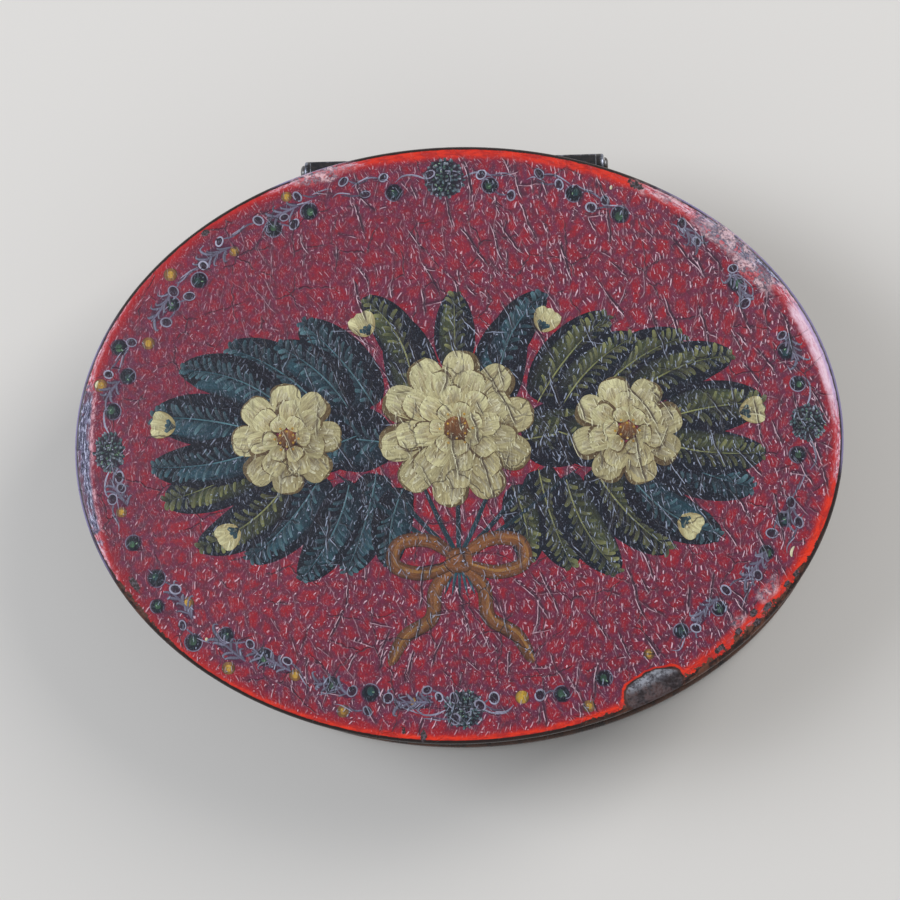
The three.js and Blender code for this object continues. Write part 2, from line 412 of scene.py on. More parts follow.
class SnuffBoxColours(bpy.types.PropertyGroup):
    """Colours of the lacquer, the paint and the metals."""

    crimson: colour_prop("Crimson", "The clear red of the field", 163, 22, 34)
    # Partly the varnish's own purple-grey and partly a painted reflection of the sky in its wrinkles; the
    # garland's smears use it too
    veil: colour_prop("Veil", "Purple-grey of the wrinkled varnish", 99, 41, 72)
    # Painted light in the varnish: the glint colours paint the highlights on its wrinkles and crack edges,
    # and the crack colours also paint the shade beside each glint
    crack_and_shade: colour_prop("Crack and shade", "Slate dark of the cracks", 50, 30, 48)
    glint: colour_prop("Glint", "Pale edge of a crack", 246, 210, 226)
    paint_crack_and_shade: colour_prop("Paint crack and shade", "Dark of the cracks over the paint", 30, 26, 32)
    petal_crack_and_shade: colour_prop("Petal crack and shade", "Dark of the cracks over the petals", 74, 62, 54)
    paint_glint: colour_prop("Paint glint", "Pale edge of a crack over the paint", 174, 186, 212)
    orange: colour_prop("Worn orange", "Red undercoat, rubbed bright at the rim", 232, 52, 20)
    brown: colour_prop("Brown coat", "Brown ground under the red", 74, 46, 40)
    rim_dark: colour_prop("Rim dark", "Black-brown side of the rim", 34, 20, 18)
    bare_tin: colour_prop("Bare tin", "Metal in the chips", 92, 90, 98)
    japan: colour_prop("Black japan", "Black-brown of the body", 26, 18, 15)
    japan_worn: colour_prop("Worn japan", "Brown where it is rubbed", 92, 58, 40)
    tin: colour_prop("Tin lining", "Dull grey inside", 166, 162, 150)
    tin_stain: colour_prop("Tin stain", "Brown stains inside", 96, 74, 52)
    hinge_dark: colour_prop("Hinge dark", "Blackened hinge metal", 42, 43, 47)
    # Partly rubbed metal and partly a painted highlight on the hinge's edges
    hinge_rub_and_highlight: colour_prop("Hinge bright", "Rubbed hinge metal", 156, 162, 178)
    iron: colour_prop("Pin iron", "The hinge wire", 122, 122, 124)
    cream: colour_prop("Cream", "Light petals", 224, 222, 174)
    tan: colour_prop("Tan", "Shaded petals", 172, 156, 108)
    umber: colour_prop("Umber", "Lines between petals", 74, 52, 40)
    petal_light: colour_prop("Petal light", "Brightest brush lines on the petals", 238, 236, 200)
    teal: colour_prop("Teal", "Lit side of the leaves", 46, 88, 102)
    teal_light: colour_prop("Light teal", "Brush lines on the teal leaves", 94, 136, 146)
    olive: colour_prop("Olive", "Lit side of the olive leaves", 84, 94, 62)
    night: colour_prop("Night", "Dark side of the leaves", 18, 27, 40)
    moss: colour_prop("Moss", "Yellow-green strokes", 158, 162, 104)
    ochre: colour_prop("Ochre", "Ribbon", 152, 98, 58)
    yellow: colour_prop("Yellow", "Garland dots", 228, 188, 62)
    berry: colour_prop("Berry", "Garland berries", 14, 32, 42)
    berry_green: colour_prop("Berry green", "Green spots", 92, 138, 96)
    lavender: colour_prop("Lavender", "Garland rings and light scrolls", 182, 184, 208)
    lilac: colour_prop("Lilac", "Darker scrolls", 120, 118, 142)
    slate: colour_prop("Slate", "Ground of the garland's rosettes", 40, 60, 70)
    smear: colour_prop("Smear", "Darkened varnish round the garland", 66, 42, 62)
    heart: colour_prop("Berry heart", "Clear green in the berries", 38, 70, 62)
    leaf_light: colour_prop("Fleck", "Light green flecks", 136, 176, 140)
    sheen: colour_prop("Sheen", "Blue-white lights on the rosettes", 200, 220, 232)
    amber: colour_prop("Amber", "Darker part of the garland dots", 172, 126, 66)
    crimson_deep: colour_prop("Deep crimson", "Darker clouds of the field", 146, 18, 34)
    # Partly the varnish's own tint and partly a painted reflection of the sky
    veil_deep: colour_prop("Deep veil", "The varnish where it is thick", 80, 40, 62)
    rim_red: colour_prop("Rim red", "The worn band where it isn't orange", 176, 28, 40)
    rim_red_dark: colour_prop("Dark rim red", "Streaks in the worn band", 160, 26, 30)
    # The rose colours paint rubbed stretches that are partly worn varnish and partly a painted highlight
    rose: colour_prop("Rose", "Rubbed stretches of the rim", 196, 74, 88)
    rose_pale: colour_prop("Pale rose", "Fine pale scratches there", 238, 196, 212)
    rose_dark: colour_prop("Dark rose", "Dark strands there", 122, 66, 82)
    # Painted highlight colours where the rim catches the light
    highlight_rose: colour_prop("Rose highlight", "Smooth glossy stretch of the rim", 214, 158, 182)
    highlight_pale: colour_prop("Pale highlight", "Lighter part of it", 242, 212, 228)
    highlight_cool: colour_prop("Cool highlight", "Bluish part of it at the edge", 190, 172, 212)
    crust_pale: colour_prop("Pale crust", "Broken line inside the slate stretches", 226, 172, 184)
    crust_dark: colour_prop("Dark crust", "Darker part of that line", 150, 84, 98)
    lead_dark: colour_prop("Dark slate", "Slate stretches of the rim", 34, 32, 44)
    lead: colour_prop("Slate grey", "Hairs in them", 92, 92, 120)
    lead_light: colour_prop("Light slate", "Strands in them", 120, 116, 146)
    lead_pale: colour_prop("Pale slate", "The palest scratches in them", 204, 208, 234)
    lead_rust: colour_prop("Rusty slate", "Reddish clouds in them", 116, 64, 78)
    side_rubbed: colour_prop("Rubbed side", "The rim's side where it is rubbed brown", 102, 62, 46)
    # Painted reflection on the rim's side
    side_shine: colour_prop("Blue side shine", "The rim's side where it shines", 150, 142, 190)
    bloom_pale: colour_prop("Pale bloom", "Bloomed varnish", 236, 200, 206)
    bloom_grey: colour_prop("Grey bloom", "Grey patches in the bloom", 104, 106, 122)
    bloom_red: colour_prop("Red bloom", "Red patches in the bloom", 196, 66, 74)
    bloom_streak: colour_prop("Bloom streak", "Streaks in the bloom", 222, 190, 202)
    chip_red: colour_prop("Chip red", "Darker red round a chip", 190, 34, 26)
    tin_bright: colour_prop("Bright tin", "Lighter metal in the chips", 162, 166, 176)
    tin_dark: colour_prop("Dark tin", "Tarnish in the chips", 58, 54, 60)
    bruise_light: colour_prop("Light bruise", "Grey of the bruises", 92, 84, 92)
    bruise_dark: colour_prop("Dark bruise", "Black-brown of the bruises", 46, 34, 34)
    japan_brown: colour_prop("Brown japan", "Browner clouds of the japan", 40, 25, 20)
    japan_scuff: colour_prop("Japan scuff", "Scuffs along the wall", 72, 52, 42)
    japan_pit: colour_prop("Japan pit", "Small pits in the japan", 96, 70, 54)
    tin_spangle: colour_prop("Tin spangle", "Crystals of the tinning", 140, 138, 130)
    tin_rubbed: colour_prop("Rubbed tin", "Dirt on the lining's edges", 70, 60, 50)
    hinge_brown: colour_prop("Hinge brown", "Browner clouds of the hinge", 58, 54, 54)
    hinge_streak: colour_prop("Hinge streak", "Turning marks on the hinge", 78, 76, 80)
    iron_rust: colour_prop("Iron rust", "Rust on the pin", 80, 66, 56)


class SnuffBoxStage(bpy.types.PropertyGroup):
    """The camera, fitted to the lid's outline in the photograph, and the light."""

    distance: length_prop("Distance", "From the lid to the camera", PHOTO_DISTANCE)
    tilt: angle_prop("Tilt", "Camera tilted to the front", PHOTO_TILT)
    yaw: angle_prop("Yaw", "Camera moved to the right", PHOTO_YAW)
    roll: angle_prop("Roll", "Turn of the picture", PHOTO_ROLL)
    lens: FloatProperty(name="Lens", description="Focal length in millimetres", default=PHOTO_LENS)
    aim: FloatVectorProperty(
        name="Aim",
        description="The point in the middle of the picture",
        default=PHOTO_AIM,
        subtype="TRANSLATION",
        unit="LENGTH",
        precision=5,
    )
    sky: FloatProperty(name="Sky", description="Strength of the plain surroundings", default=0.4)
    floor: colour_prop("Floor", "The plain pale floor", 226, 224, 220)


def sizes():
    return bpy.context.scene.snuff_box_sizes


def colours():
    return bpy.context.scene.snuff_box_colours


def stage_settings():
    return bpy.context.scene.snuff_box_stage


# Shapes of the box


def oval(angle, inset):
    """A point on the ellipse that lies inset inside the lid's outline."""
    return Vector(((HALF_LENGTH - inset) * math.cos(angle), (HALF_WIDTH - inset) * math.sin(angle)))


def walled(angle, inset):
    """The same ellipse, cut straight across at the back with soft corners."""
    point = oval(angle, inset)
    flat = WALL_FLAT + WALL_INSET - inset
    soft = sizes().corner_round
    lesser = min(point.y, flat)
    excess = math.exp((lesser - point.y) / soft) + math.exp((lesser - flat) / soft)
    point.y = lesser - soft * math.log(excess)
    return point


def edge_share(x, y, inset):
    """How far out a point is: 0 in the middle and 1 on the ellipse at this inset."""
    return math.hypot(x / (HALF_LENGTH - inset), y / (HALF_WIDTH - inset))


def camera_axes(tilt, yaw, roll):
    """The right, the up and the backward direction of a camera that looks down on the lid."""
    back = Vector((math.sin(yaw) * math.cos(tilt), -math.sin(tilt), math.cos(yaw) * math.cos(tilt)))
    back.normalize()
    right = Vector((0, 1, 0)).cross(back).normalized()
    up = back.cross(right)
    rolled_right = right * math.cos(roll) + up * math.sin(roll)
    rolled_up = up * math.cos(roll) - right * math.sin(roll)
    return rolled_right, rolled_up, back


def from_photo(pixel_x, pixel_y):
    """The place on the lid that shows at a pixel of the photograph."""
    right, up, back = camera_axes(PHOTO_TILT, PHOTO_YAW, PHOTO_ROLL)
    scale = SENSOR_WIDTH / PHOTO_LENS / PHOTO_SIDE
    middle = PHOTO_SIDE / 2
    ray = (right * (pixel_x - middle) + up * (middle - pixel_y)) * scale - back
    start = Vector(PHOTO_AIM) + back * PHOTO_DISTANCE
    return (start + ray * ((PHOTO_LID_TOP - start.z) / ray.z)).xy


def outward(place):
    """The direction out of the lid's outline next to a place on it."""
    return Vector((place.x / HALF_LENGTH**2, place.y / HALF_WIDTH**2)).normalized()


def on_lid(photo_spots):
    """Places of wear on the lid, each with the direction out of the lid there."""
    spots = []
    for pixel_x, pixel_y, half_long, half_wide, depth in photo_spots:
        middle = from_photo(pixel_x, pixel_y)
        spots.append((middle, outward(middle), half_long * MM, half_wide * MM, depth))
    return spots


def two_waves(x, y, long, short, offset):
    """Uneven noise of two wavelengths, the short one weaker."""
    coarse = noise.noise(Vector((x, y, 0)) / long)
    return coarse + 0.4 * noise.noise(Vector((x, y, offset)) / short)


def wear_at(x, y, spots, roughness):
    """How strong the wear is at a place on the lid: 0 where there is none, and near 1 in a spot."""
    most = 0.0
    for middle, out, half_long, half_wide, depth in spots:
        step_x = x - middle.x
        step_y = y - middle.y
        along = (step_y * out.x - step_x * out.y) / half_long
        across = (step_x * out.x + step_y * out.y) / half_wide
        reach = (abs(along) ** WEAR_SQUARENESS + abs(across) ** WEAR_SQUARENESS) ** (1 / WEAR_SQUARENESS)
        if reach < WEAR_LIMIT:
            most = max(most, depth * (1.15 - 0.6 * reach**1.5))
    if most <= 0:
        return 0.0
    return max(0.0, most + two_waves(x, y, 1.3 * MM, 0.5 * MM, 5) * roughness)


def rim_look(angle):
    """The values of RIM_LAYERS at an angle round the lid, read between the rows of RIM_LOOKS."""
    degrees = math.degrees(angle)
    for before, after in zip(RIM_LOOKS, RIM_LOOKS[1:]):
        if degrees <= after[0]:
            share = (degrees - before[0]) / (after[0] - before[0])
            return [start + (end - start) * share for start, end in zip(before[1:], after[1:])]
    return RIM_LOOKS[-1][1:]


def dome(x, y):
    """Height of the lacquered top, with its unevenness."""
    size = sizes()
    share = min(1.0, edge_share(x, y, size.sheet))
    wave = two_waves(x, y, 5 * MM, 1.8 * MM, 9)
    calm = min(1.0, (1 - share) * 12)
    rise = size.dome_rise * (1 - share**size.dome_power)
    return LID_SEAT + size.sheet + rise + size.unevenness * (wave - 0.6) * calm


# Mesh tools


def arc(inset, z, radius, start, end, steps):
    """Profile points on a round corner. Angle 0 points out of the box and 90 degrees up."""
    points = []
    for step in range(steps + 1):
        angle = math.radians(start + (end - start) * step / steps)
        points.append((inset - radius * math.cos(angle), z + radius * math.sin(angle), 1.0))
    return points


def band_profile(outer, inner, bottom, top, rounding, rows=8):
    """Profile of an upright band: its four corners rounded, with rows of points up both faces."""
    points = []
    points += arc(outer + rounding, bottom + rounding, rounding, 270, 360, 4)
    for row in range(1, rows):
        points.append((outer, bottom + (top - bottom) * row / rows, 0.0))
    points += arc(outer + rounding, top - rounding, rounding, 0, 90, 4)
    points += arc(inner - rounding, top - rounding, rounding, 90, 180, 4)
    for row in range(1, rows):
        points.append((inner, top - (top - bottom) * row / rows, 0.0))
    points += arc(inner - rounding, bottom + rounding, rounding, 180, 270, 4)
    return points


def loft(profile, place, steps):
    """A closed shell: a ring of vertices extruded through a profile of (a, b, rub) points.

    place(angle, a, b) puts a vertex of the ring. The last ring joins the first, unless both ends
    of the profile lie on the axis, where each ring closes in one point.
    """
    bm = bmesh.new()
    around = bm.verts.layers.float.new("around")
    rub = bm.verts.layers.float.new("rub")
    ring = bmesh.ops.create_circle(bm, segments=steps, radius=1.0)["verts"]
    for vert in ring:
        vert[around] = math.atan2(vert.co.y, vert.co.x)
    first = bm.edges[:]
    edges = first
    for index, (a, b, rubbed) in enumerate(profile):
        if index:
            made = bmesh.ops.extrude_edge_only(bm, edges=edges)["geom"]
            ring = [item for item in made if isinstance(item, BMVert)]
            edges = [item for item in made if isinstance(item, BMEdge)]
        for vert in ring:
            vert.co = place(vert[around], a, b)
            vert[rub] = rubbed
    if edges[0].calc_length() > SAME_PLACE:
        bmesh.ops.bridge_loops(bm, edges=first + edges)
    bmesh.ops.remove_doubles(bm, verts=bm.verts[:], dist=SAME_PLACE)
    bmesh.ops.recalc_face_normals(bm, faces=bm.faces[:])
    return bm


def level_rows(start, end, z, rows):
    """Profile points across a level sheet, without its end."""
    return [(start + (end - start) * row / rows, z, 0.0) for row in range(rows)]


def drawn_in(outline, angle, inset, edge, middle):
    """A point on an outline at an inset up to the edge, and from there drawn in to the middle."""
    share = max(0.0, 1 - max(0.0, inset - edge) / (middle - edge))
    return outline(angle, min(inset, edge)) * share


def finish_piece(bm, name, body, material, nodes=(), sharp=35):
    """Makes the object of a piece, with its edges smooth up to an angle, and ties it to its body."""
    limit = math.radians(sharp)
    for face in bm.faces:
        face.smooth = True
    for edge in bm.edges:
        edge.smooth = edge.calc_face_angle(0.0) < limit
    mesh = bpy.data.meshes.new(name)
    bm.to_mesh(mesh)
    bm.free()
    mesh.materials.append(material)
    piece = bpy.data.objects.new(name, mesh)
    bpy.context.scene.collection.objects.link(piece)
    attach(piece, body)
    if nodes:
        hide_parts(*nodes)
    return piece


def upright(outline):
    """Puts ring vertices on an outline of the box, at an inset and a height."""

    def place(angle, inset, z):
        point = outline(angle, inset)
        return Vector((point.x, point.y, z))

    return place


def around_hinge(angle, radius, x):
    return Vector((x, HINGE_Y + radius * math.cos(angle), HINGE_Z + radius * math.sin(angle)))


# Brush strokes


def ray_at(angle):
    return Vector((math.cos(angle), math.sin(angle)))


def left_of(ray):
    return Vector((-ray.y, ray.x))


def blend(first, second, share):
    """A colour between two others."""
    return Vector(first).lerp(Vector(second), share)


def spline(points):
    """A smooth path through points, as a function of a share from 0 to 1."""
    ends = [2 * points[0] - points[1], *points, 2 * points[-1] - points[-2]]

    def path(share):
        position = min(max(share, 0.0), 1.0) * (len(points) - 1)
        index = min(int(position), len(points) - 2)
        t = position - index
        before, start, end, after = ends[index : index + 4]
        return 0.5 * (
            2 * start
            + (end - before) * t
            + (2 * before - 5 * start + 4 * end - after) * t**2
            + (3 * start - before - 3 * end + after) * t**3
        )

    return path


def ring_path(middle, radius, flatness=1.0, turn=0.0):
    """A closed loop, a little flattened, as a brush goes round."""

    def path(share):
        angle = FULL_TURN * share * 1.02 + turn
        loop = Vector((radius * math.cos(angle), radius * flatness * math.sin(angle)))
        loop.rotate(Matrix.Rotation(turn, 2))
        return middle + loop

    return path


def line_path(start, direction, length, bend=0.0):
    """A bowed path from a start, with bend as a share of its length."""
    ahead = ray_at(direction)
    side = left_of(ahead)

    def path(share):
        return start + ahead * length * share + side * length * bend * 4 * share * (1 - share)

    return path


# How a stroke differs from the next: the lot that shifts its bristle marks, and its tone
BRISTLE_LOTS = 50
STROKE_TONES = (0.86, 1.12)

# Its section: how far along its path its direction is taken, its thinnest end as a share of its
# width, and how squarely its top drops at the sides and at the ends
PATH_STEP = 0.02
THINNEST_END = 0.02
SIDE_SQUARENESS = 6
END_SQUARENESS = 8


class PaintPot:
    """A mesh that gathers brush strokes, each a thin closed lens that lies on the lid."""

    def __init__(self, seed):
        self.bm = bmesh.new()
        self.daub = bpy.data.meshes.new("daub")
        self.random = random.Random(seed)

    def stroke(
        self, path, half_width, base, tip=None, edge=None, level=0, taper=0.0, fullness=2.0, steps=10, sides=8
    ):
        """Lays one stroke, from its base colour to its tip's. level counts the layers below it."""
        size = sizes()
        tip = tip or base
        bm = bmesh.new()
        pigment = bm.verts.layers.float_color.new("pigment")
        bristle = bm.verts.layers.float_vector.new("bristle")
        made = bmesh.ops.create_uvsphere(bm, u_segments=sides, v_segments=steps, radius=1.0)["verts"]
        lot = self.random.uniform(0, BRISTLE_LOTS)
        tone = self.random.uniform(*STROKE_TONES)
        reach = sum((path((part + 1) / 8) - path(part / 8)).length for part in range(8))
        for vert in made:
            share = math.acos(max(-1.0, min(1.0, vert.co.z))) / math.pi
            from_middle = abs(2 * share - 1)
            girth = math.hypot(vert.co.x, vert.co.y)
            across = vert.co.x / girth if girth > SMALL else 0.0
            over = vert.co.y / girth if girth > SMALL else 0.0
            ahead = path(min(1.0, share + PATH_STEP)) - path(max(0.0, share - PATH_STEP))
            swell = (1 - from_middle**fullness) ** 0.5 * (1 - taper * share)
            width = half_width * max(THINNEST_END, swell)
            place = path(share) + left_of(ahead).normalized() * width * across
            body = size.paint_height * (1 - across**SIDE_SQUARENESS)
            lift = body * (1 - from_middle**END_SQUARENESS) if over > 0 else -body
            z = dome(place.x, place.y) + level * size.paint_layer + lift
            vert.co = Vector((place.x, place.y, z))
            colour = Vector(base).lerp(Vector(tip), share)
            if edge:
                colour = colour.lerp(Vector(edge), min(1.0, abs(across) ** 3))
            colour = colour * tone
            colour[3] = 1.0
            vert[pigment] = colour
            vert[bristle] = Vector((across * width / MM, share * reach / MM, lot))
        bm.to_mesh(self.daub)
        bm.free()
        self.bm.from_mesh(self.daub)

    def piece(self, name, material):
        bpy.data.meshes.remove(self.daub)
        bmesh.ops.recalc_face_normals(self.bm, faces=self.bm.faces[:])
        return finish_piece(self.bm, name, "lid", material, sharp=80)


# Materials


class Wire:
    """The output of a node, which can be added, multiplied and so on as a number can."""

    def __init__(self, pen, socket):
        self.pen = pen
        self.socket = socket

    def __add__(self, other):
        return self.pen.math("ADD", self, other)

    def __sub__(self, other):
        return self.pen.math("SUBTRACT", self, other)

    def __rsub__(self, other):
        return self.pen.math("SUBTRACT", other, self)

    def __mul__(self, other):
        return self.pen.math("MULTIPLY", self, other)

    def __truediv__(self, other):
        return self.pen.math("DIVIDE", self, other)

    def __abs__(self):
        return self.pen.math("ABSOLUTE", self)

    __rmul__ = __mul__


class Pen:
    """Short ways to add nodes to a node tree and to join them."""

    def __init__(self, tree):
        self.tree = tree

    def feed(self, socket, value):
        """Sets a node's input: a wire is linked to it, and anything else becomes its value."""
        if isinstance(value, Wire):
            self.tree.links.new(value.socket, socket)
        else:
            socket.default_value = value

    def node(self, kind, inputs=None, **settings):
        node = self.tree.nodes.new("ShaderNode" + kind)
        for name, value in settings.items():
            setattr(node, name, value)
        for key, value in (inputs or {}).items():
            self.feed(node.inputs[key], value)
        return node

    def wires(self, node):
        """The wires from all the outputs of a node, by name."""
        return {socket.name: Wire(self, socket) for socket in node.outputs}

    def wire(self, kind, inputs=None, output=0, **settings):
        """Adds a node and gives the wire from one of its outputs."""
        return Wire(self, self.node(kind, inputs, **settings).outputs[output])

    def split(self, value, kind="SeparateXYZ"):
        return list(self.wires(self.node(kind, {0: value})).values())

    def math(self, operation, first, second=0.0, clamp=False):
        return self.wire("Math", {0: first, 1: second}, operation=operation, use_clamp=clamp)

    def vector(self, operation, first, second=(0.0, 0.0, 0.0)):
        return self.wire("VectorMath", {0: first, 1: second}, operation=operation)

    def step(self, value, low, high):
        """0 where the value is low and 1 where it is high, soft between. low may be the larger."""
        inputs = {"Value": value, "From Min": low, "From Max": high}
        return self.wire("MapRange", inputs, "Result", interpolation_type="SMOOTHSTEP")

    def mix(self, share, first, second, blend="MIX"):
        return self.wire("Mix", {0: share, 6: first, 7: second}, 2, data_type="RGBA", blend_type=blend)

    def coats(self, colour, *rows):
        """Lays coats over a colour. Each row: how much the coat covers, and its colour."""
        for share, coat in rows:
            colour = self.mix(share, colour, coat)
        return colour

    def move(self, vector, x=0.0, y=0.0, z=0.0):
        return self.vector("ADD", vector, (x, y, z))

    def stretch(self, vector, x=1.0, y=1.0, z=1.0):
        return self.vector("MULTIPLY", vector, (x, y, z))

    def turn(self, vector, angle):
        return self.wire("VectorRotate", {"Vector": vector, "Angle": angle}, rotation_type="Z_AXIS")

    def noise(self, vector, scale, detail=2.0, roughness=0.5, output="Fac"):
        inputs = {"Vector": vector, "Scale": scale, "Detail": detail, "Roughness": roughness}
        return self.wire("TexNoise", inputs, output)

    def cells(self, vector, scale=1.0, feature="F1"):
        inputs = {"Vector": vector, "Scale": scale, "Randomness": 1.0}
        return self.wires(self.node("TexVoronoi", inputs, voronoi_dimensions="2D", feature=feature))

    def cell_edges(self, vector, scale):
        return self.cells(vector, scale, "DISTANCE_TO_EDGE")["Distance"]

    def bend(self, vector, amount, scale):
        """The vector moved about by a smooth noise, so that a pattern on it isn't straight."""
        drift = self.move(self.noise(vector, scale, output="Color"), -0.5, -0.5, -0.5)
        return self.vector("ADD", vector, self.stretch(drift, amount, amount, 0.0))

    def attribute(self, name, output="Fac"):
        return self.wire("Attribute", output=output, attribute_name=name)

    def millimetres(self):
        """Object coordinates in millimetres."""
        return self.stretch(self.wire("TexCoord", output="Object"), 1 / MM, 1 / MM, 1 / MM)


def slivers(pen, place, degrees, spread, pitch, seed):
    """Straight slots that lean by an angle, give or take half a spread, one to a cell of a pattern.

    Gives how far a point lies across and along its slot, in millimetres, and the cell's chances.
    """
    turned = pen.move(pen.turn(place, math.radians(degrees)), seed, seed * 1.7)
    pattern = pen.stretch(turned, 1 / pitch[0], 1 / pitch[1])
    cell = pen.cells(pattern)
    chance = pen.split(cell["Color"], "SeparateColor")
    offset = pen.stretch(pen.vector("SUBTRACT", pattern, cell["Position"]), *pitch)
    across, along = pen.split(pen.turn(offset, (chance[2] - 0.5) * math.radians(spread)))[:2]
    return across, abs(along), chance


def crack_lines(pen, place, degrees, spread, pitch, half_length, share, seed):
    """Long cracks: the slate core of each, partly the crack's own dark and partly painted shadow, a broken
    pale line along one side that is a painted highlight, and the haze round it.
    """
    across, along, chance = slivers(pen, place, degrees, spread, pitch, seed)
    reach = half_length * (chance[1] + 0.35)
    inside = pen.step(along, reach, reach * 0.5)
    there = inside * pen.step(chance[0], 1 - share, 1 - share + 0.04)
    gape = (chance[1] * 0.08 + 0.035) * inside
    dark = pen.step(abs(across - gape), gape + 0.1, gape * 0.3)
    pale = pen.step(abs(across + 0.04), 0.065, 0.02) * pen.step(pen.noise(place, 0.9), 0.36, 0.6)
    smoky = pen.step(abs(across), 0.55, 0.1)
    return [part * there for part in (dark, pale, smoky)]


def dashes(pen, place, degrees, spread, pitch, half_width, half_length, share, seed):
    """Short painted glints of the varnish, some brighter than others, and the painted shade along one side of
    each.
    """
    across, along, chance = slivers(pen, place, degrees, spread, pitch, seed)
    reach = half_length * (chance[1] + 0.3)
    short = pen.step(along, reach, reach * 0.5)
    lit = pen.step(chance[0], 1 - share, 1.0) * pen.step(pen.noise(place, 1.1), 0.25, 0.52)
    width = half_width * (chance[2] * 0.7 + 0.6)
    glint = pen.step(abs(across), width, width * 0.3)
    shade = pen.step(abs(across - half_width * 2.1), half_width * 2.0, half_width * 0.2)
    there = short * lit
    return [part * there for part in (glint, shade)]


def strongest(pen, marks, weights):
    """The strongest of several sets of marks, each made fainter by its weight."""
    highest, *others = [mark * weight for mark, weight in zip(marks, weights)]
    for other in others:
        highest = pen.math("MAXIMUM", highest, other)
    return highest


def varnish_group():
    """The aged varnish that lies over the lid: it cracks and dulls whatever is under it, and its glints, the
    shade beside them and a reflection of the sky are painted into its colour.
    """
    name = "aged_varnish"
    if name in bpy.data.node_groups:
        return bpy.data.node_groups[name]
    tree = bpy.data.node_groups.new(name, "ShaderNodeTree")
    for socket, way, kind in VARNISH_SOCKETS:
        tree.interface.new_socket(name=socket, in_out=way, socket_type="NodeSocket" + kind)
    pen = Pen(tree)
    tint = colours()
    given = pen.wires(tree.nodes.new("NodeGroupInput"))
    crack_and_shade = given["Crack and shade"]
    glint = given["Glint"]
    place = pen.millimetres()
    wavy = pen.bend(pen.bend(place, 3.0, 0.09), 0.45, 0.7)
    wrinkled = pen.bend(wavy, 0.6, 2.2)
    x, y = pen.split(place)[:2]
    upper = pen.step(x + y * 0.8, -24.0, 4.0)
    share_right = upper * 0.75 + 0.25
    share_left = (1.0 - upper) * 0.7 + 0.3
    middle = pen.step(x, -27.0, -12.0) * 0.85 + 0.15
    # A painted reflection of the sky hazes the varnish towards the upper left and weakens the contrast there
    painted_sky_haze = pen.step(x - y, 0.0, -48.0)
    clear = 1.0 - painted_sky_haze * 0.5

    cracks = [crack_lines(pen, wavy, *row) for row in CRACKS]
    weights = (share_right, 0.9, share_left, 0.6)
    dark, pale, smoky = (middle * strongest(pen, kind, weights) for kind in zip(*cracks))
    marks = [dashes(pen, ground, *row) for ground, row in zip((wavy, wavy, wrinkled), GLINTS)]
    weights = (share_right, share_left, 1.0)
    glints, shades = (clear * strongest(pen, kind, weights) for kind in zip(*marks))

    network = pen.cell_edges(wrinkled, 0.5)
    mottle = pen.noise(wrinkled, 0.75, detail=5.0, roughness=0.7)
    specks = pen.noise(pen.stretch(wavy, 1.6), 2.6, detail=3.0, roughness=0.65)
    grain = pen.noise(pen.stretch(wavy, 8.0, 4.0), 1.0, detail=2.0, roughness=0.6)
    border = pen.step(network + (mottle - 0.5) * 0.5, 0.3, 0.02) * clear
    # The veil that the murk lays is partly the varnish's own purple-grey and partly a painted reflection of
    # the sky in its wrinkles
    murk = border * 0.85 + painted_sky_haze * 0.25
    murk += pen.step(mottle, 0.42, 0.64) * 0.4
    murk += pen.step(specks, 0.42, 0.64) * 0.35
    murk += smoky * 0.5
    murk = (pen.math("MINIMUM", murk, 1.0) * 0.74 + 0.08) * given["Veil"]
    depth = pen.noise(wrinkled, 1.3, detail=3.0)
    veil = pen.mix(pen.step(depth, 0.35, 0.65), tint.veil_deep, tint.veil)

    net_place = pen.bend(wavy, 1.1, 0.8)
    kept = pen.step(pen.noise(place, 0.3), 0.44, 0.56)
    hair = pen.step(pen.cell_edges(net_place, 0.23), 0.026, 0.006) * kept
    beside = pen.cell_edges(pen.move(net_place, 0.07, 0.05), 0.23)
    hair_highlight = pen.step(beside, 0.016, 0.004) * kept
    # Painted highlights: the pale grain specks, the line beside each hair, the glints and the cracks' pale
    # side. Painted shade: the side of each glint and, in part, each crack's dark core
    colour = pen.coats(
        given["Colour"],
        (murk, veil),
        (pen.step(grain, 0.45, 0.3) * 0.3, crack_and_shade),
        (pen.step(grain, 0.56, 0.75) * 0.2, glint),
        (hair_highlight * 0.12, glint),
        (hair * 0.75, crack_and_shade),
        (shades * 0.6, crack_and_shade),
        (smoky * 0.38, crack_and_shade),
        (dark * 0.85, crack_and_shade),
        (glints * 0.82, glint),
        (pale * 0.85, glint),
    )
    relief = specks * 0.5 + network * 0.5 - pen.math("MAXIMUM", dark, hair)
    relief += pen.math("MAXIMUM", pale, glints) * 0.4
    result = tree.nodes.new("NodeGroupOutput")
    pen.feed(result.inputs["Colour"], colour)
    pen.feed(result.inputs["Roughness"], mottle * 0.3 + 0.22 + dark * 0.3)
    pen.feed(result.inputs["Height"], relief)
    return tree


def varnished(pen, colour, veil, crack_and_shade, glint):
    """The aged varnish over a colour, with how thick it lies and the colours of its cracks."""
    inputs = {"Colour": colour, "Veil": veil, "Crack and shade": crack_and_shade, "Glint": glint}
    group = pen.node("Group", node_tree=varnish_group())
    for name, value in inputs.items():
        pen.feed(group.inputs[name], value)
    return pen.wires(group)


def new_material(name):
    """Makes an empty node material. Gives the pen for its nodes, and its shader."""
    material = bpy.data.materials.new(name)
    material.use_nodes = True
    return Pen(material.node_tree), material.node_tree.nodes["Principled BSDF"]


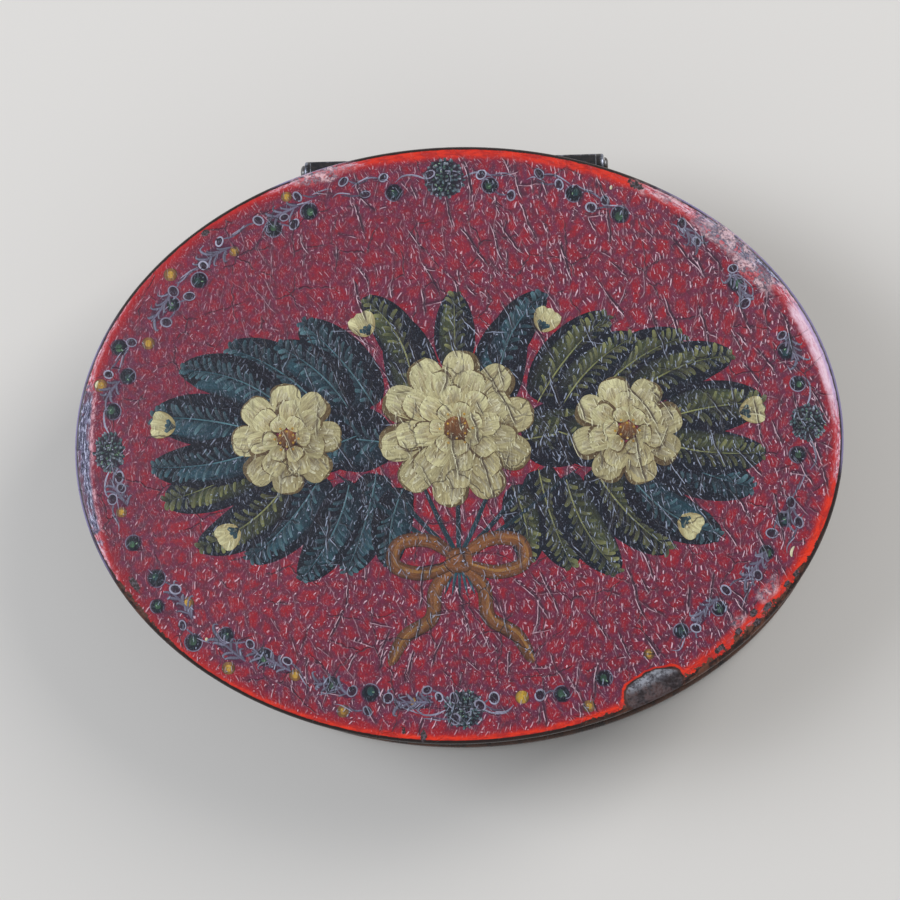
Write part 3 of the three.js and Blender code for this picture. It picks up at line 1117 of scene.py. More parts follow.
def join_shader(pen, shader, height, relief, inputs):
    """Feeds what varies over the surface, and its relief, to its shader."""
    bump = pen.wire("Bump", {"Height": height, "Strength": 1.0, "Distance": relief})
    for name, value in {**inputs, "Normal": bump}.items():
        pen.feed(shader.inputs[name], value)


def around_rim(pen, place, inset):
    """Coordinates in which noise runs in streaks along the lid's rim."""
    circle = pen.vector("NORMALIZE", pen.stretch(place, MM / HALF_LENGTH, MM / HALF_WIDTH, 0.0))
    depth = pen.wire("CombineXYZ", {2: inset * RIM_STREAK_DEPTH})
    return pen.vector("ADD", pen.stretch(circle, RIM_STREAK_LENGTH, RIM_STREAK_LENGTH), depth)


def worn_rim(pen, colour, place, inset):
    """Lays the worn band, the pale and slate rubbed stretches, a painted highlight where the rim catches the
    light, and the dark side with a painted bluish reflection on its edge over a colour.
    """
    tint = colours()
    width, orange, pink_and_highlight, slate, brown = (pen.attribute(name) for name in RIM_LAYERS)
    flow = around_rim(pen, place, inset)
    ragged = pen.noise(place, 0.8, detail=5.0, roughness=0.65)
    streaks = pen.noise(flow, 0.55, detail=5.0, roughness=0.7)
    hairs = pen.noise(pen.stretch(flow, 1.0, 1.0, 1.8), 0.9, detail=6.0, roughness=0.8)
    strands = pen.noise(pen.move(flow, 7.0, 3.0, 1.0), 1.5, detail=5.0, roughness=0.75)
    wobble = (ragged - 0.5) * 0.9
    edge = (inset + wobble) / width

    red = pen.coats(
        tint.rim_red,
        (orange, tint.orange),
        (pen.step(streaks, 0.42, 0.62) * 0.75, tint.rim_red_dark),
    )
    # Rubbed pink stretches, partly worn varnish and partly a painted highlight
    rosy = pen.coats(
        tint.rose,
        (pen.step(hairs, 0.44, 0.56), tint.rose_pale),
        (pen.step(strands, 0.52, 0.6), tint.rose_dark),
    )
    # Painted highlight where the rim catches the window, cooler at the very edge
    highlight = pen.coats(
        tint.highlight_rose,
        (pen.step(hairs, 0.34, 0.54), tint.highlight_pale),
        (pen.step(inset, 0.85, 0.5), tint.highlight_cool),
    )
    crusty = pen.mix(pen.step(strands, 0.46, 0.56), tint.crust_pale, tint.crust_dark)
    leaden = pen.coats(
        tint.lead_dark,
        (pen.step(hairs, 0.42, 0.52), tint.lead),
        (pen.step(strands, 0.5, 0.58), tint.lead_light),
        (pen.step(hairs, 0.53, 0.59), tint.lead_pale),
        (pen.step(pen.noise(flow, 0.35, detail=3.0), 0.52, 0.62) * 0.6, tint.lead_rust),
    )
    # Where the pink-white is strongest it is a painted highlight: the red band gives way to it and the
    # highlight is laid over it
    plain = 1.0 - pen.step(pink_and_highlight, 0.9, 1.3) * 0.65
    pink_patch = pen.step(pink_and_highlight + (streaks - 0.5), 0.25, 0.6)
    ripple = edge + (hairs - 0.5) * 0.9
    highlight_zone = pen.step(pink_and_highlight, 1.0, 1.25) * pen.step(ripple, 1.05, 0.7)
    crust = pen.step(edge, 1.5, 1.28) * pen.step(ragged, 0.43, 0.53) * pen.step(slate, 0.4, 0.8)
    slate_patch = pen.step(slate + (ragged - 0.5) * 1.6, 0.45, 0.75)

    side = inset + wobble * 0.3
    eaten = brown * pen.step(ragged, 0.38, 0.6)
    rubbed = eaten * pen.step(streaks, 0.38, 0.55)
    # Painted bluish reflection on the rim's outermost edge where it is pink-white or slate
    side_shine_zone = pen.step(pen.math("MAXIMUM", pink_and_highlight, slate), 0.4, 0.8) * pen.step(inset, 0.3, 0.12)
    rim_side = pen.coats(
        tint.rim_dark,
        (pen.math("MULTIPLY", rubbed, 1.6, clamp=True), tint.side_rubbed),
        (side_shine_zone * 0.8, tint.side_shine),
    )
    colour = pen.coats(
        colour,
        (pen.step(edge, 1.4, 0.75) * plain, red),
        (pink_patch * pen.step(edge, 1.1, 0.5), rosy),
        (highlight_zone * 0.88, highlight),
        (crust, crusty),
        (slate_patch * pen.step(edge, 1.25, 0.95), leaden),
        (pen.step(side - eaten, 0.44, 0.34), rim_side),
    )
    return colour, streaks


def lid_material(name):
    """Crimson under varnish with its painted glints, worn at the rim with painted highlights there, chipped
    to brown and tin, and tin below.
    """
    pen, shader = new_material(name)
    tint = colours()
    place = pen.millimetres()
    inset, loss, inside, bloom, bruise = (pen.attribute(layer) for layer in LID_LAYERS)
    fine = pen.noise(place, 3.6, detail=4.0, roughness=0.65)
    blotch = pen.noise(place, 0.8, detail=3.0, roughness=0.6)

    field = pen.mix(pen.step(pen.noise(place, 0.12), 0.35, 0.7), tint.crimson, tint.crimson_deep)
    border = pen.step(inset, 1.5, 2.6) * pen.step(inset, 7.5, 5.5)
    murk = pen.step(inset, 0.8, 1.9) + border * 0.12
    varnish = varnished(pen, field, murk, tint.crack_and_shade, tint.glint)
    colour, streaks = worn_rim(pen, varnish["Colour"], place, inset)

    pale = pen.coats(
        tint.bloom_pale,
        (pen.step(blotch, 0.44, 0.52), tint.bloom_grey),
        (pen.step(blotch, 0.54, 0.6), tint.bloom_red),
        (pen.step(streaks, 0.4, 0.62) * 0.4, tint.bloom_streak),
    )
    bloomed = pen.step(bloom, 0.3, 0.75) * pen.step(fine, 0.3, 0.55)
    worn = loss + (fine - 0.5) * 0.1
    bare = pen.step(worn, 0.54, 0.62)
    bright = pen.mix(pen.step(streaks, 0.4, 0.6), tint.orange, tint.chip_red)
    brown = pen.mix(pen.step(blotch, 0.4, 0.6), tint.brown, tint.rim_dark)
    grey = pen.coats(
        tint.tin_bright,
        (pen.step(blotch, 0.46, 0.66), tint.bare_tin),
        (pen.step(fine, 0.44, 0.64) * 0.8, tint.tin_dark),
        (pen.step(inset + blotch, 2.9, 1.9) * 0.85, brown),
    )
    bruised = bruise + (fine - 0.5) * 1.1
    dull = pen.mix(pen.step(fine, 0.42, 0.58), tint.bruise_light, tint.bruise_dark)
    stain = pen.step(pen.noise(place, 0.2, detail=4.0, roughness=0.7), 0.5, 0.72)
    tin = pen.mix(stain * 0.7, tint.tin, tint.tin_stain)
    colour = pen.coats(
        colour,
        (bloomed * 0.8, pale),
        (pen.step(worn, 0.35, 0.4) * pen.step(inset, 0.7, 1.2), bright),
        (pen.step(worn, 0.46, 0.5), brown),
        (bare, grey),
        (pen.step(bruised, 0.42, 0.55), dull),
        (inside, tin),
    )
    height = varnish["Height"] * pen.step(loss, 0.5, 0.3) + fine * 0.5 + bloomed * streaks * 1.5
    inputs = {
        "Base Color": colour,
        "Roughness": varnish["Roughness"] + pen.step(loss, 0.3, 0.5) * 0.15,
        "Metallic": pen.math("ADD", bare * 0.35, inside * 0.8, clamp=True),
        "Specular IOR Level": LID_SPECULAR,
        "Coat Weight": 0.2,
        "Coat Roughness": 0.12,
    }
    join_shader(pen, shader, height * (1.0 - inside * 0.7), 0.07 * MM, inputs)


def paint_material(name, veil, crack_and_shade, glint):
    """Streaky oil paint of each stroke's own pigment, under the lid's varnish with its painted glints and
    shade.
    """
    pen, shader = new_material(name)
    bristle = pen.attribute("bristle", "Vector")
    pigment = pen.attribute("pigment", "Color")
    streak = pen.noise(pen.stretch(bristle, 5.0, 0.55), 1.0, detail=2.0, roughness=0.6)
    shaded = pen.mix(1.0, pigment, STREAK_SHADE, "MULTIPLY")
    varnish = varnished(pen, pen.mix(pen.step(streak, 0.3, 0.72), shaded, pigment), veil, crack_and_shade, glint)
    inputs = {
        "Base Color": varnish["Colour"],
        "Roughness": varnish["Roughness"],
        "Specular IOR Level": LID_SPECULAR,
        "Coat Weight": 0.12,
        "Coat Roughness": 0.2,
    }
    join_shader(pen, shader, varnish["Height"] + streak * 0.6, 0.05 * MM, inputs)


def japan_material(name):
    """Glossy black-brown japan, rubbed brown along the edges of the sheet."""
    pen, shader = new_material(name)
    tint = colours()
    place = pen.millimetres()
    patches = pen.noise(place, 0.5, detail=4.0, roughness=0.65)
    fine = pen.noise(place, 3.2, detail=3.0, roughness=0.6)
    scuffs = pen.noise(pen.stretch(place, 0.7, 0.7, 5.0), 1.5, detail=5.0, roughness=0.7)
    pits = pen.step(pen.noise(place, 1.2, detail=4.0, roughness=0.6), 0.66, 0.7)
    scratch = pen.noise(pen.stretch(place, 0.6, 0.6, 7.0), 1.2, detail=3.0)
    worn = pen.attribute("rub") + (patches - 0.5) * 2.2
    colour = pen.coats(
        tint.japan,
        (pen.step(patches, 0.4, 0.65), tint.japan_brown),
        (pen.step(scuffs, 0.54, 0.68) * 0.5, tint.japan_scuff),
        (pits * 0.8, tint.japan_pit),
        (pen.step(worn, 0.55, 1.1) * 0.85, tint.japan_worn),
        (pen.step(worn, 1.25, 1.4) * pen.step(fine, 0.5, 0.6), tint.bare_tin),
    )
    inputs = {
        "Base Color": colour,
        "Roughness": patches * 0.3 + scratch * 0.18,
        "Coat Weight": 0.5,
        "Coat Roughness": 0.12,
    }
    join_shader(pen, shader, fine * 0.5 + patches * 0.8, 0.03 * MM, inputs)


def tin_material(name):
    """Dull tinned sheet with drawing scratches, grey spangle and brown stains."""
    pen, shader = new_material(name)
    tint = colours()
    place = pen.millimetres()
    stain = pen.noise(place, 0.22, detail=5.0, roughness=0.7)
    fine = pen.noise(place, 5.0)
    spangle = pen.wire("TexVoronoi", {"Vector": place, "Scale": 0.45}, "Color")
    lines = pen.noise(pen.stretch(place, 0.4, 0.4, 9.0), 1.0, detail=3.0)
    colour = pen.coats(
        tint.tin,
        (pen.step(spangle, 0.2, 0.9), tint.tin_spangle),
        (pen.step(stain, 0.46, 0.7) * 0.75, tint.tin_stain),
        (pen.step(fine, 0.45, 0.7) * pen.attribute("rub"), tint.tin_rubbed),
    )
    inputs = {"Base Color": colour, "Roughness": stain * 0.35 + lines * 0.35, "Metallic": 0.85}
    join_shader(pen, shader, lines * 0.5 + fine * 0.4, 0.02 * MM, inputs)


def hinge_material(name):
    """Blackened hinge metal, bright where hands and the other leaf rub it; that brightness on the edges is
    partly a painted highlight.
    """
    pen, shader = new_material(name)
    tint = colours()
    place = pen.millimetres()
    patches = pen.noise(place, 1.4, detail=5.0, roughness=0.65)
    fine = pen.noise(pen.stretch(place, 1.0, 5.0, 5.0), 2.0, detail=3.0)
    # Edges made bright: real wear and a painted highlight
    bright = pen.step(pen.attribute("rub") * 0.85 + (patches - 0.5) * 1.1, 0.5, 0.95)
    colour = pen.coats(
        tint.hinge_dark,
        (pen.step(patches, 0.42, 0.62), tint.hinge_brown),
        (pen.step(fine, 0.5, 0.7) * 0.4, tint.hinge_streak),
        (bright, tint.hinge_rub_and_highlight),
    )
    inputs = {"Base Color": colour, "Roughness": fine * 0.3 + 0.18, "Metallic": bright * 0.5 + 0.4}
    join_shader(pen, shader, fine * 0.4 + patches, 0.02 * MM, inputs)


def pin_material(name):
    """Dark iron wire with spots of rust."""
    pen, shader = new_material(name)
    tint = colours()
    place = pen.millimetres()
    grain = pen.noise(pen.stretch(place, 0.6, 5.0, 5.0), 1.0, detail=3.0)
    rust = pen.noise(place, 2.2, detail=4.0)
    colour = pen.mix(pen.step(rust, 0.5, 0.7), tint.iron, tint.iron_rust)
    inputs = {"Base Color": colour, "Roughness": grain * 0.3 + 0.22, "Metallic": 0.9}
    join_shader(pen, shader, grain, 0.015 * MM, inputs)


def floor_material(name):
    pen, shader = new_material(name)
    pen.feed(shader.inputs["Base Color"], stage_settings().floor)
    pen.feed(shader.inputs["Roughness"], 0.9)


def material_once(name, make, *values):
    """The material of this name, made the first time that it is asked for."""
    if name not in bpy.data.materials:
        make(name, *values)
    return bpy.data.materials[name]


SLOT_MATERIALS = {
    "red_lacquer": ("worn_red_lacquer", lid_material),
    "black_japan": ("worn_black_japan", japan_material),
    "tin_lining": ("stained_tin", tin_material),
    "hinge_metal": ("rubbed_hinge_metal", hinge_material),
    "pin_iron": ("polished_pin_iron", pin_material),
}


def cover(bm, node, body, slot, sharp=35):
    """Puts a mesh in the place of one node of the frame, in the material of its slot."""
    material = material_once(*SLOT_MATERIALS[slot])
    finish_piece(bm, "snuff_" + node, body, material, [node], sharp)


def band(node, body, slot, inset, sheet, bottom, top, rows):
    """An upright band of sheet that follows the outline of the box."""
    profile = band_profile(inset, inset + sheet, bottom, top, sizes().edge_round, rows)
    cover(loft(profile, upright(walled), WALL_STEPS), node, body, slot)


# Operators


class SNUFFBOX_OT_body(bpy.types.Operator):
    """Raise the body's wall, its folded foot and base, and the lining collar"""

    bl_idname = "snuff_box.body"
    bl_label = "Body"

    def execute(self, context):
        size = sizes()
        band("body_wall", "body", "black_japan", WALL_INSET, size.sheet, WALL_LOW.z, PARTING, rows=14)
        self.base()
        collar = (COLLAR_INSET, size.collar_sheet, COLLAR_LOW.z, COLLAR_HIGH.z)
        band("inner_collar", "body", "tin_lining", *collar, rows=10)
        return {"FINISHED"}

    def base(self):
        """The bottom sheet, with its edge folded down to the table and up again round the wall."""
        size = sizes()
        fold = size.fold_round
        lip = size.sheet / 2
        pocket_outer = FOOT_INSET + size.sheet
        pocket_inner = WALL_INSET + size.sheet + size.solder_gap
        inside = pocket_inner + size.sheet
        under = size.foot_depth
        over = under + size.sheet
        top = BASE_HIGH.z
        profile = [*level_rows(HALF_WIDTH, inside, under, BASE_ROWS), (inside, under, 0.0)]
        profile += arc(inside - fold, fold, fold, 180, 270, 5)
        profile += arc(FOOT_INSET + fold, fold, fold, 270, 360, 6)
        profile += [(FOOT_INSET, top * FOLD_STRAIGHT, 0.0)]
        profile += arc(FOOT_INSET + lip, top - lip, lip, 0, 90, 6)
        profile += [(pocket_outer, top, 1.0), (pocket_outer, size.sheet, 0.0)]
        profile += [(pocket_inner, size.sheet, 0.0), (pocket_inner, over, 0.3)]
        profile += level_rows(pocket_inner, HALF_WIDTH, over, BASE_ROWS)[1:]
        profile += [(HALF_WIDTH, over, 0.0)]

        def place(angle, inset, z):
            point = drawn_in(walled, angle, inset, inside, HALF_WIDTH)
            if inset > inside + 1 * MM:
                z += BASE_SAG * noise.noise(Vector((point.x, point.y, 3 * MM)) / BASE_SAG_LENGTH)
            return Vector((point.x, point.y, z))

        cover(loft(profile, place, WALL_STEPS), "base_plate", "body", "black_japan")


class SNUFFBOX_OT_lid(bpy.types.Operator):
    """Form the lid's domed plate with its rolled rim and chips, and its skirt"""

    bl_idname = "snuff_box.lid"
    bl_label = "Lid"

    def execute(self, context):
        self.plate()
        skirt = (WALL_INSET, sizes().sheet, SKIRT_LOW.z, SKIRT_HIGH.z)
        band("lid_skirt", "lid", "black_japan", *skirt, rows=8)
        return {"FINISHED"}

    def plate(self):
        size = sizes()
        roll = size.sheet
        rim_top = LID_SEAT + roll
        lip = WALL_INSET - size.solder_gap
        profile = level_rows(HALF_WIDTH, BORDER_WIDTH, rim_top, FIELD_ROWS)
        profile += level_rows(BORDER_WIDTH, roll, rim_top, BORDER_ROWS)
        profile += arc(roll, LID_SEAT, roll, 90, -90, 14)
        profile += [(lip, LID_SEAT - 0.8 * roll, 0.5), (lip, LID_SEAT, 0.0)]
        profile += level_rows(COLLAR_INSET, HALF_WIDTH, LID_SEAT, UNDER_ROWS)
        profile += [(HALF_WIDTH, LID_SEAT, 0.0)]

        def place(angle, inset, z):
            point = drawn_in(oval, angle, inset, BORDER_WIDTH, HALF_WIDTH)
            return Vector((point.x, point.y, z))

        bm = loft(profile, place, LID_STEPS)
        self.shape_top(bm, rim_top)
        cover(bm, "lid_plate", "lid", "red_lacquer", sharp=60)

    def shape_top(self, bm, rim_top):
        """Domes both faces, sinks the chips and writes what the lid's material reads."""
        size = sizes()
        losses = on_lid(LOSSES)
        blooms = on_lid(BLOOMS)
        bruises = on_lid(BRUISES)
        near = 0.01 * MM
        inset_layer, loss_layer, inside_layer, bloom_layer, bruise_layer = (
            bm.verts.layers.float.new(name) for name in LID_LAYERS
        )
        rim_layers = [bm.verts.layers.float.new(name) for name in RIM_LAYERS]
        for vert in bm.verts:
            x, y, z = vert.co
            scale = math.hypot(x / HALF_LENGTH, y / HALF_WIDTH)
            centre = scale <= SMALL
            inset = HALF_WIDTH if centre else math.hypot(x, y) * (1 / scale - 1)
            slant = 1.0 if centre else outward(vert.co.xy).dot(vert.co.xy.normalized())
            vert[inset_layer] = inset * slant / MM
            top = z > LID_SEAT + near
            if abs(z - rim_top) < 0.1 * near:
                vert.co.z = dome(x, y)
            if top:
                vert[bloom_layer] = wear_at(x, y, blooms, BLOOM_ROUGHNESS)
                vert[bruise_layer] = wear_at(x, y, bruises, BLOOM_ROUGHNESS)
                for layer, value in zip(rim_layers, rim_look(math.atan2(y / HALF_WIDTH, x / HALF_LENGTH))):
                    vert[layer] = value
                loss = wear_at(x, y, losses, LOSS_ROUGHNESS)
                vert[loss_layer] = loss
                vert.co.z -= size.chip_depth * min(1.0, max(0.0, (loss - CHIP_START) / CHIP_SLOPE))
            elif edge_share(x, y, COLLAR_INSET) < 1.0 and abs(z - LID_SEAT) < near:
                share = edge_share(x, y, COLLAR_INSET)
                vert.co.z += (size.dome_rise + 0.1 * MM) * (1 - share**size.dome_power)
            if edge_share(x, y, WALL_INSET - size.solder_gap - near) < 1.0 and not top:
                vert[inside_layer] = 1.0


class SNUFFBOX_OT_hinge(bpy.types.Operator):
    """Fit the two grooved bearers, the knuckles and the pin"""

    bl_idname = "snuff_box.hinge"
    bl_label = "Hinge"

    def execute(self, context):
        self.bearer("body_hinge_bearer", "body", -1)
        self.bearer("lid_hinge_bearer", "lid", 1)
        for node in sorted(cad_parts):
            if "_knuckle_" in node:
                self.knuckle(node)
        self.pin()
        return {"FINISHED"}

    def bearer(self, node, body, side):
        """A strip whose section is a half groove, with its long edges softened."""
        size = sizes()
        low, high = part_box(node)
        knuckle_low, knuckle_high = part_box("body_knuckle_1")
        groove = (knuckle_high.z - knuckle_low.z) / 2 + size.groove_clearance
        height = max(abs(low.z - HINGE_Z), abs(high.z - HINGE_Z))
        stop = math.acos(max(-1.0, min(1.0, (high.y - HINGE_Y) / groove)))
        front = math.pi - math.asin(size.bearer_gap / 2 / groove)
        section = [(low.y - HINGE_Y, side * height), (high.y - HINGE_Y, side * height)]
        for step in range(GROOVE_STEPS + 1):
            angle = stop + (front - stop) * step / GROOVE_STEPS
            section.append((groove * math.cos(angle), side * groove * math.sin(angle)))
        section.append((low.y - HINGE_Y, side * size.bearer_gap / 2))
        bm = bmesh.new()
        bm.verts.layers.float.new("rub")
        verts = [bm.verts.new((low.x, HINGE_Y + y, HINGE_Z + z)) for y, z in section]
        face = bm.faces.new(verts)
        end = bmesh.ops.extrude_face_region(bm, geom=[face])["geom"]
        moved = [item for item in end if isinstance(item, BMVert)]
        bmesh.ops.translate(bm, verts=moved, vec=(high.x - low.x, 0, 0))
        bmesh.ops.recalc_face_normals(bm, faces=bm.faces[:])
        corners = [edge for edge in bm.edges if edge.calc_face_angle(0.0) > math.radians(50)]
        bevel = {"offset": BEARER_BEVEL, "segments": 2, "affect": "EDGES", "profile": 0.5, "material": -1}
        bmesh.ops.bevel(bm, geom=corners, **bevel)
        rub = bm.verts.layers.float["rub"]
        for vert in bm.verts:
            vert[rub] = EDGE_RUB_AND_SHINE
        broad = [face for face in bm.faces if len(face.verts) == 4 and face.calc_area() > BROAD_AREA]
        bmesh.ops.inset_individual(bm, faces=broad, thickness=BEARER_BORDER)
        for face in broad:
            for vert in face.verts:
                vert[rub] = BROAD_RUB_AND_SHINE
        cover(bm, node, body, "hinge_metal", sharp=30)

    def knuckle(self, node):
        size = sizes()
        low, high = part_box(node)
        radius = (high.z - low.z) / 2
        bore = size.pin_radius + size.pin_clearance
        chamfer = size.knuckle_chamfer
        body = "body" if node.startswith("body") else "lid"
        half_way = 0.3 * chamfer
        profile = [
            (bore + BORE_CHAMFER, low.x, 0.3),
            (radius - chamfer, low.x, 0.8),
            (radius - half_way, low.x + half_way, 1.0),
            (radius, low.x + chamfer, 0.9),
        ]
        straight = high.x - low.x - 2 * chamfer
        for row in range(1, KNUCKLE_ROWS):
            profile.append((radius, low.x + chamfer + straight * row / KNUCKLE_ROWS, 0.25))
        profile += [
            (radius, high.x - chamfer, 0.9),
            (radius - half_way, high.x - half_way, 1.0),
            (radius - chamfer, high.x, 0.8),
            (bore + BORE_CHAMFER, high.x, 0.3),
            (bore, high.x - BORE_CHAMFER, 0.3),
            (bore, low.x + BORE_CHAMFER, 0.3),
        ]

        def place(angle, ring, x):
            """Rolls the sheet to a barrel, with a shallow groove where its edges meet."""
            swing = math.remainder(angle - SEAM_ANGLE, FULL_TURN)
            dip = SEAM_DEPTH * math.exp(-((swing / SEAM_HALF_ANGLE) ** 2))
            return around_hinge(angle, ring - dip if ring > bore + SEAM_CLEAR else ring, x)

        cover(loft(profile, place, BARREL_STEPS * 2), node, body, "hinge_metal", sharp=30)

    def pin(self):
        """The wire, with a hammered head at each end."""
        size = sizes()
        head = (PIN_HIGH.z - PIN_LOW.z) / 2
        neck = PIN_HIGH.x - size.pin_head
        half = [(size.pin_radius, 0.0, 0.0), (size.pin_radius, neck, 0.0)]
        for step in range(HEAD_STEPS + 1):
            angle = math.pi / 2 * step / HEAD_STEPS
            radius = head * math.cos(angle) ** HEAD_ROUNDNESS
            half.append((radius, neck + size.pin_head * math.sin(angle), 1.0))
        half[-1] = (0.0, neck + size.pin_head, 1.0)
        profile = [(ring, -x, rub) for ring, x, rub in reversed(half[1:])] + half
        cover(loft(profile, around_hinge, BARREL_STEPS), "hinge_pin", "body", "pin_iron")


class SNUFFBOX_OT_garland(bpy.types.Operator):
    """Paint the border's rosettes, berries, dots, rings and scrolls"""

    bl_idname = "snuff_box.garland"
    bl_label = "Garland"

    def execute(self, context):
        tint = colours()
        # The paint's cracks also carry painted shade, and its glints are painted highlights
        looks = (0.08, tint.paint_crack_and_shade, tint.paint_glint)
        material = material_once("garland_paint", paint_material, *looks)
        self.rosettes().piece("paint_garland_rosettes", material)
        self.berries().piece("paint_garland_berries", material)
        self.rings().piece("paint_garland_rings", material)
        self.scrolls().piece("paint_garland_scrolls", material)
        return {"FINISHED"}

    def rosettes(self):
        """Round heads of crowded petals, slate at the edge and green in the heart."""
        tint = colours()
        pot = PaintPot(11)
        rand = pot.random
        for pixel_x, pixel_y, half_length, half_width in ROSETTES:
            middle = from_photo(pixel_x, pixel_y)
            out = outward(middle)
            along = left_of(out)

            def spot(angle, share):
                ray = along * math.cos(angle) * half_length + out * math.sin(angle) * half_width
                return middle + ray * share * MM

            disc = line_path(spot(-math.pi / 2, 0.95), math.atan2(out.y, out.x), 1.9 * half_width * MM)
            pot.stroke(disc, 0.95 * half_length * MM, tint.berry, tint.berry, tint.smear, steps=16, sides=20)
            for ring, count in enumerate(ROSETTE_PETALS):
                share = ROSETTE_REACH - ROSETTE_STEP * ring
                for index in range(count):
                    angle = FULL_TURN * index / count + rand.uniform(-0.14, 0.14)
                    start = spot(angle, share - 0.1)
                    ray = spot(angle, 1.0) - middle
                    direction = math.atan2(ray.y, ray.x) + rand.uniform(-0.6, 0.6)
                    green = min(1.0, rand.random() * (0.3 + 0.25 * ring))
                    shade = blend(tint.teal_light, tint.berry_green, green)
                    lit = rand.uniform(-0.6, 0.85)
                    shade = blend(shade, tint.lavender if lit > 0 else tint.night, abs(lit))
                    shade = blend(shade, tint.sheen, rand.uniform(0.0, 0.5) if lit > 0.3 else 0.0)
                    length = rand.uniform(0.34, 0.56) * MM
                    petal = line_path(start, direction, length, rand.uniform(-0.25, 0.25))
                    half = rand.uniform(0.12, 0.2) * MM
                    pot.stroke(petal, half, tint.berry, shade, tint.night, level=1 + ring, steps=8)
            for index in range(ROSETTE_FLECKS):
                fleck = spot(rand.uniform(0, FULL_TURN), 0.95 * rand.random() ** 0.7)
                shade = tint.leaf_light if index % 2 else tint.lavender
                path = line_path(fleck, rand.uniform(0, FULL_TURN), rand.uniform(0.15, 0.35) * MM, 0.2)
                pot.stroke(path, 0.055 * MM, shade, shade, level=7, steps=6)
        return pot

    def blob(self, pot, middle, radius, base, tip, edge, level=0):
        """A round dab, pulled a little downwards."""
        path = line_path(middle - Vector((0, radius)), math.pi / 2, 2 * radius)
        pot.stroke(path, radius, base, tip, edge, level=level, steps=12, sides=16)

    def berries(self):
        """Dark berries with a green heart and a pale line round one side, dots and flecks."""
        tint = colours()
        pot = PaintPot(23)
        rand = pot.random
        for index, place in enumerate(BERRIES):
            middle = from_photo(*place)
            radius = rand.uniform(0.8, 1.0) * MM
            self.blob(pot, middle, radius * 1.12, tint.smear, tint.smear, tint.veil)
            self.blob(pot, middle, radius, tint.berry, tint.night, tint.night, level=1)
            heart = tint.berry_green if index % 3 else tint.teal
            heart = blend(heart, tint.heart, rand.uniform(0.2, 0.7))
            core = middle + radius * 0.2 * Vector((rand.uniform(-1, 1), rand.uniform(-1, 1)))
            self.blob(pot, core, radius * rand.uniform(0.45, 0.6), heart, tint.heart, tint.berry, level=2)
            angle = rand.uniform(0, FULL_TURN)
            sweep = rand.uniform(2.0, 5.0)
            turns = [sweep * step / 7 for step in range(8)]
            side = [middle + radius * 1.04 * ray_at(angle + turn) for turn in turns]
            shade = blend(tint.lilac, tint.lavender, rand.uniform(0.0, 0.5))
            pot.stroke(spline(side), 0.06 * MM, tint.lilac, shade, level=3, steps=16, fullness=4)
            spot = middle + Vector((rand.uniform(-0.3, 0.3), rand.uniform(-0.3, 0.3))) * MM
            pot.stroke(line_path(spot, angle, 0.35 * MM), 0.07 * MM, tint.leaf_light, level=4, steps=6)
        for place in YELLOW_DOTS:
            middle = from_photo(*place)
            radius = rand.uniform(0.6, 0.8) * MM
            faded = 0.0 if place == BRIGHT_DOT else rand.uniform(0.4, 0.8)
            shade = blend(tint.amber, tint.umber, faded * 0.6)
            shade = blend(shade, tint.yellow, 0.0 if faded else 0.7)
            light = blend(tint.yellow, tint.amber, faded)
            self.blob(pot, middle, radius, shade, shade, tint.umber)
            self.blob(pot, middle, radius * 0.6, light, light, shade, level=1)
            for lean in (0.6, 2.4):
                pot.stroke(line_path(middle, lean, 0.4 * MM), 0.08 * MM, light, tint.yellow, level=2, steps=6)
        for pixel_x, pixel_y, length in PALE_FLECKS:
            fleck = line_path(from_photo(pixel_x, pixel_y), 1.3, length * MM, 0.15)
            pot.stroke(fleck, 0.15 * MM, tint.cream, tint.petal_light, level=2)
        return pot

    def rings(self):
        """Small pale rings on a dark ground."""
        tint = colours()
        pot = PaintPot(37)
        rand = pot.random
        for place in RINGS:
            middle = from_photo(*place)
            radius = rand.uniform(0.5, 0.66) * MM
            flat = rand.uniform(0.6, 0.9)
            turn = rand.uniform(0, FULL_TURN)
            self.blob(pot, middle, radius * 0.9, tint.smear, tint.night, tint.smear, RING_LEVEL)
            width = rand.uniform(0.07, 0.1) * MM
            shade = blend(tint.lavender, tint.lilac, rand.uniform(0.0, 0.6))
            shape = {"level": RING_LEVEL + 1, "steps": 24, "fullness": 10}
            pot.stroke(ring_path(middle, radius, flat, turn), width, shade, **shape)
        return pot

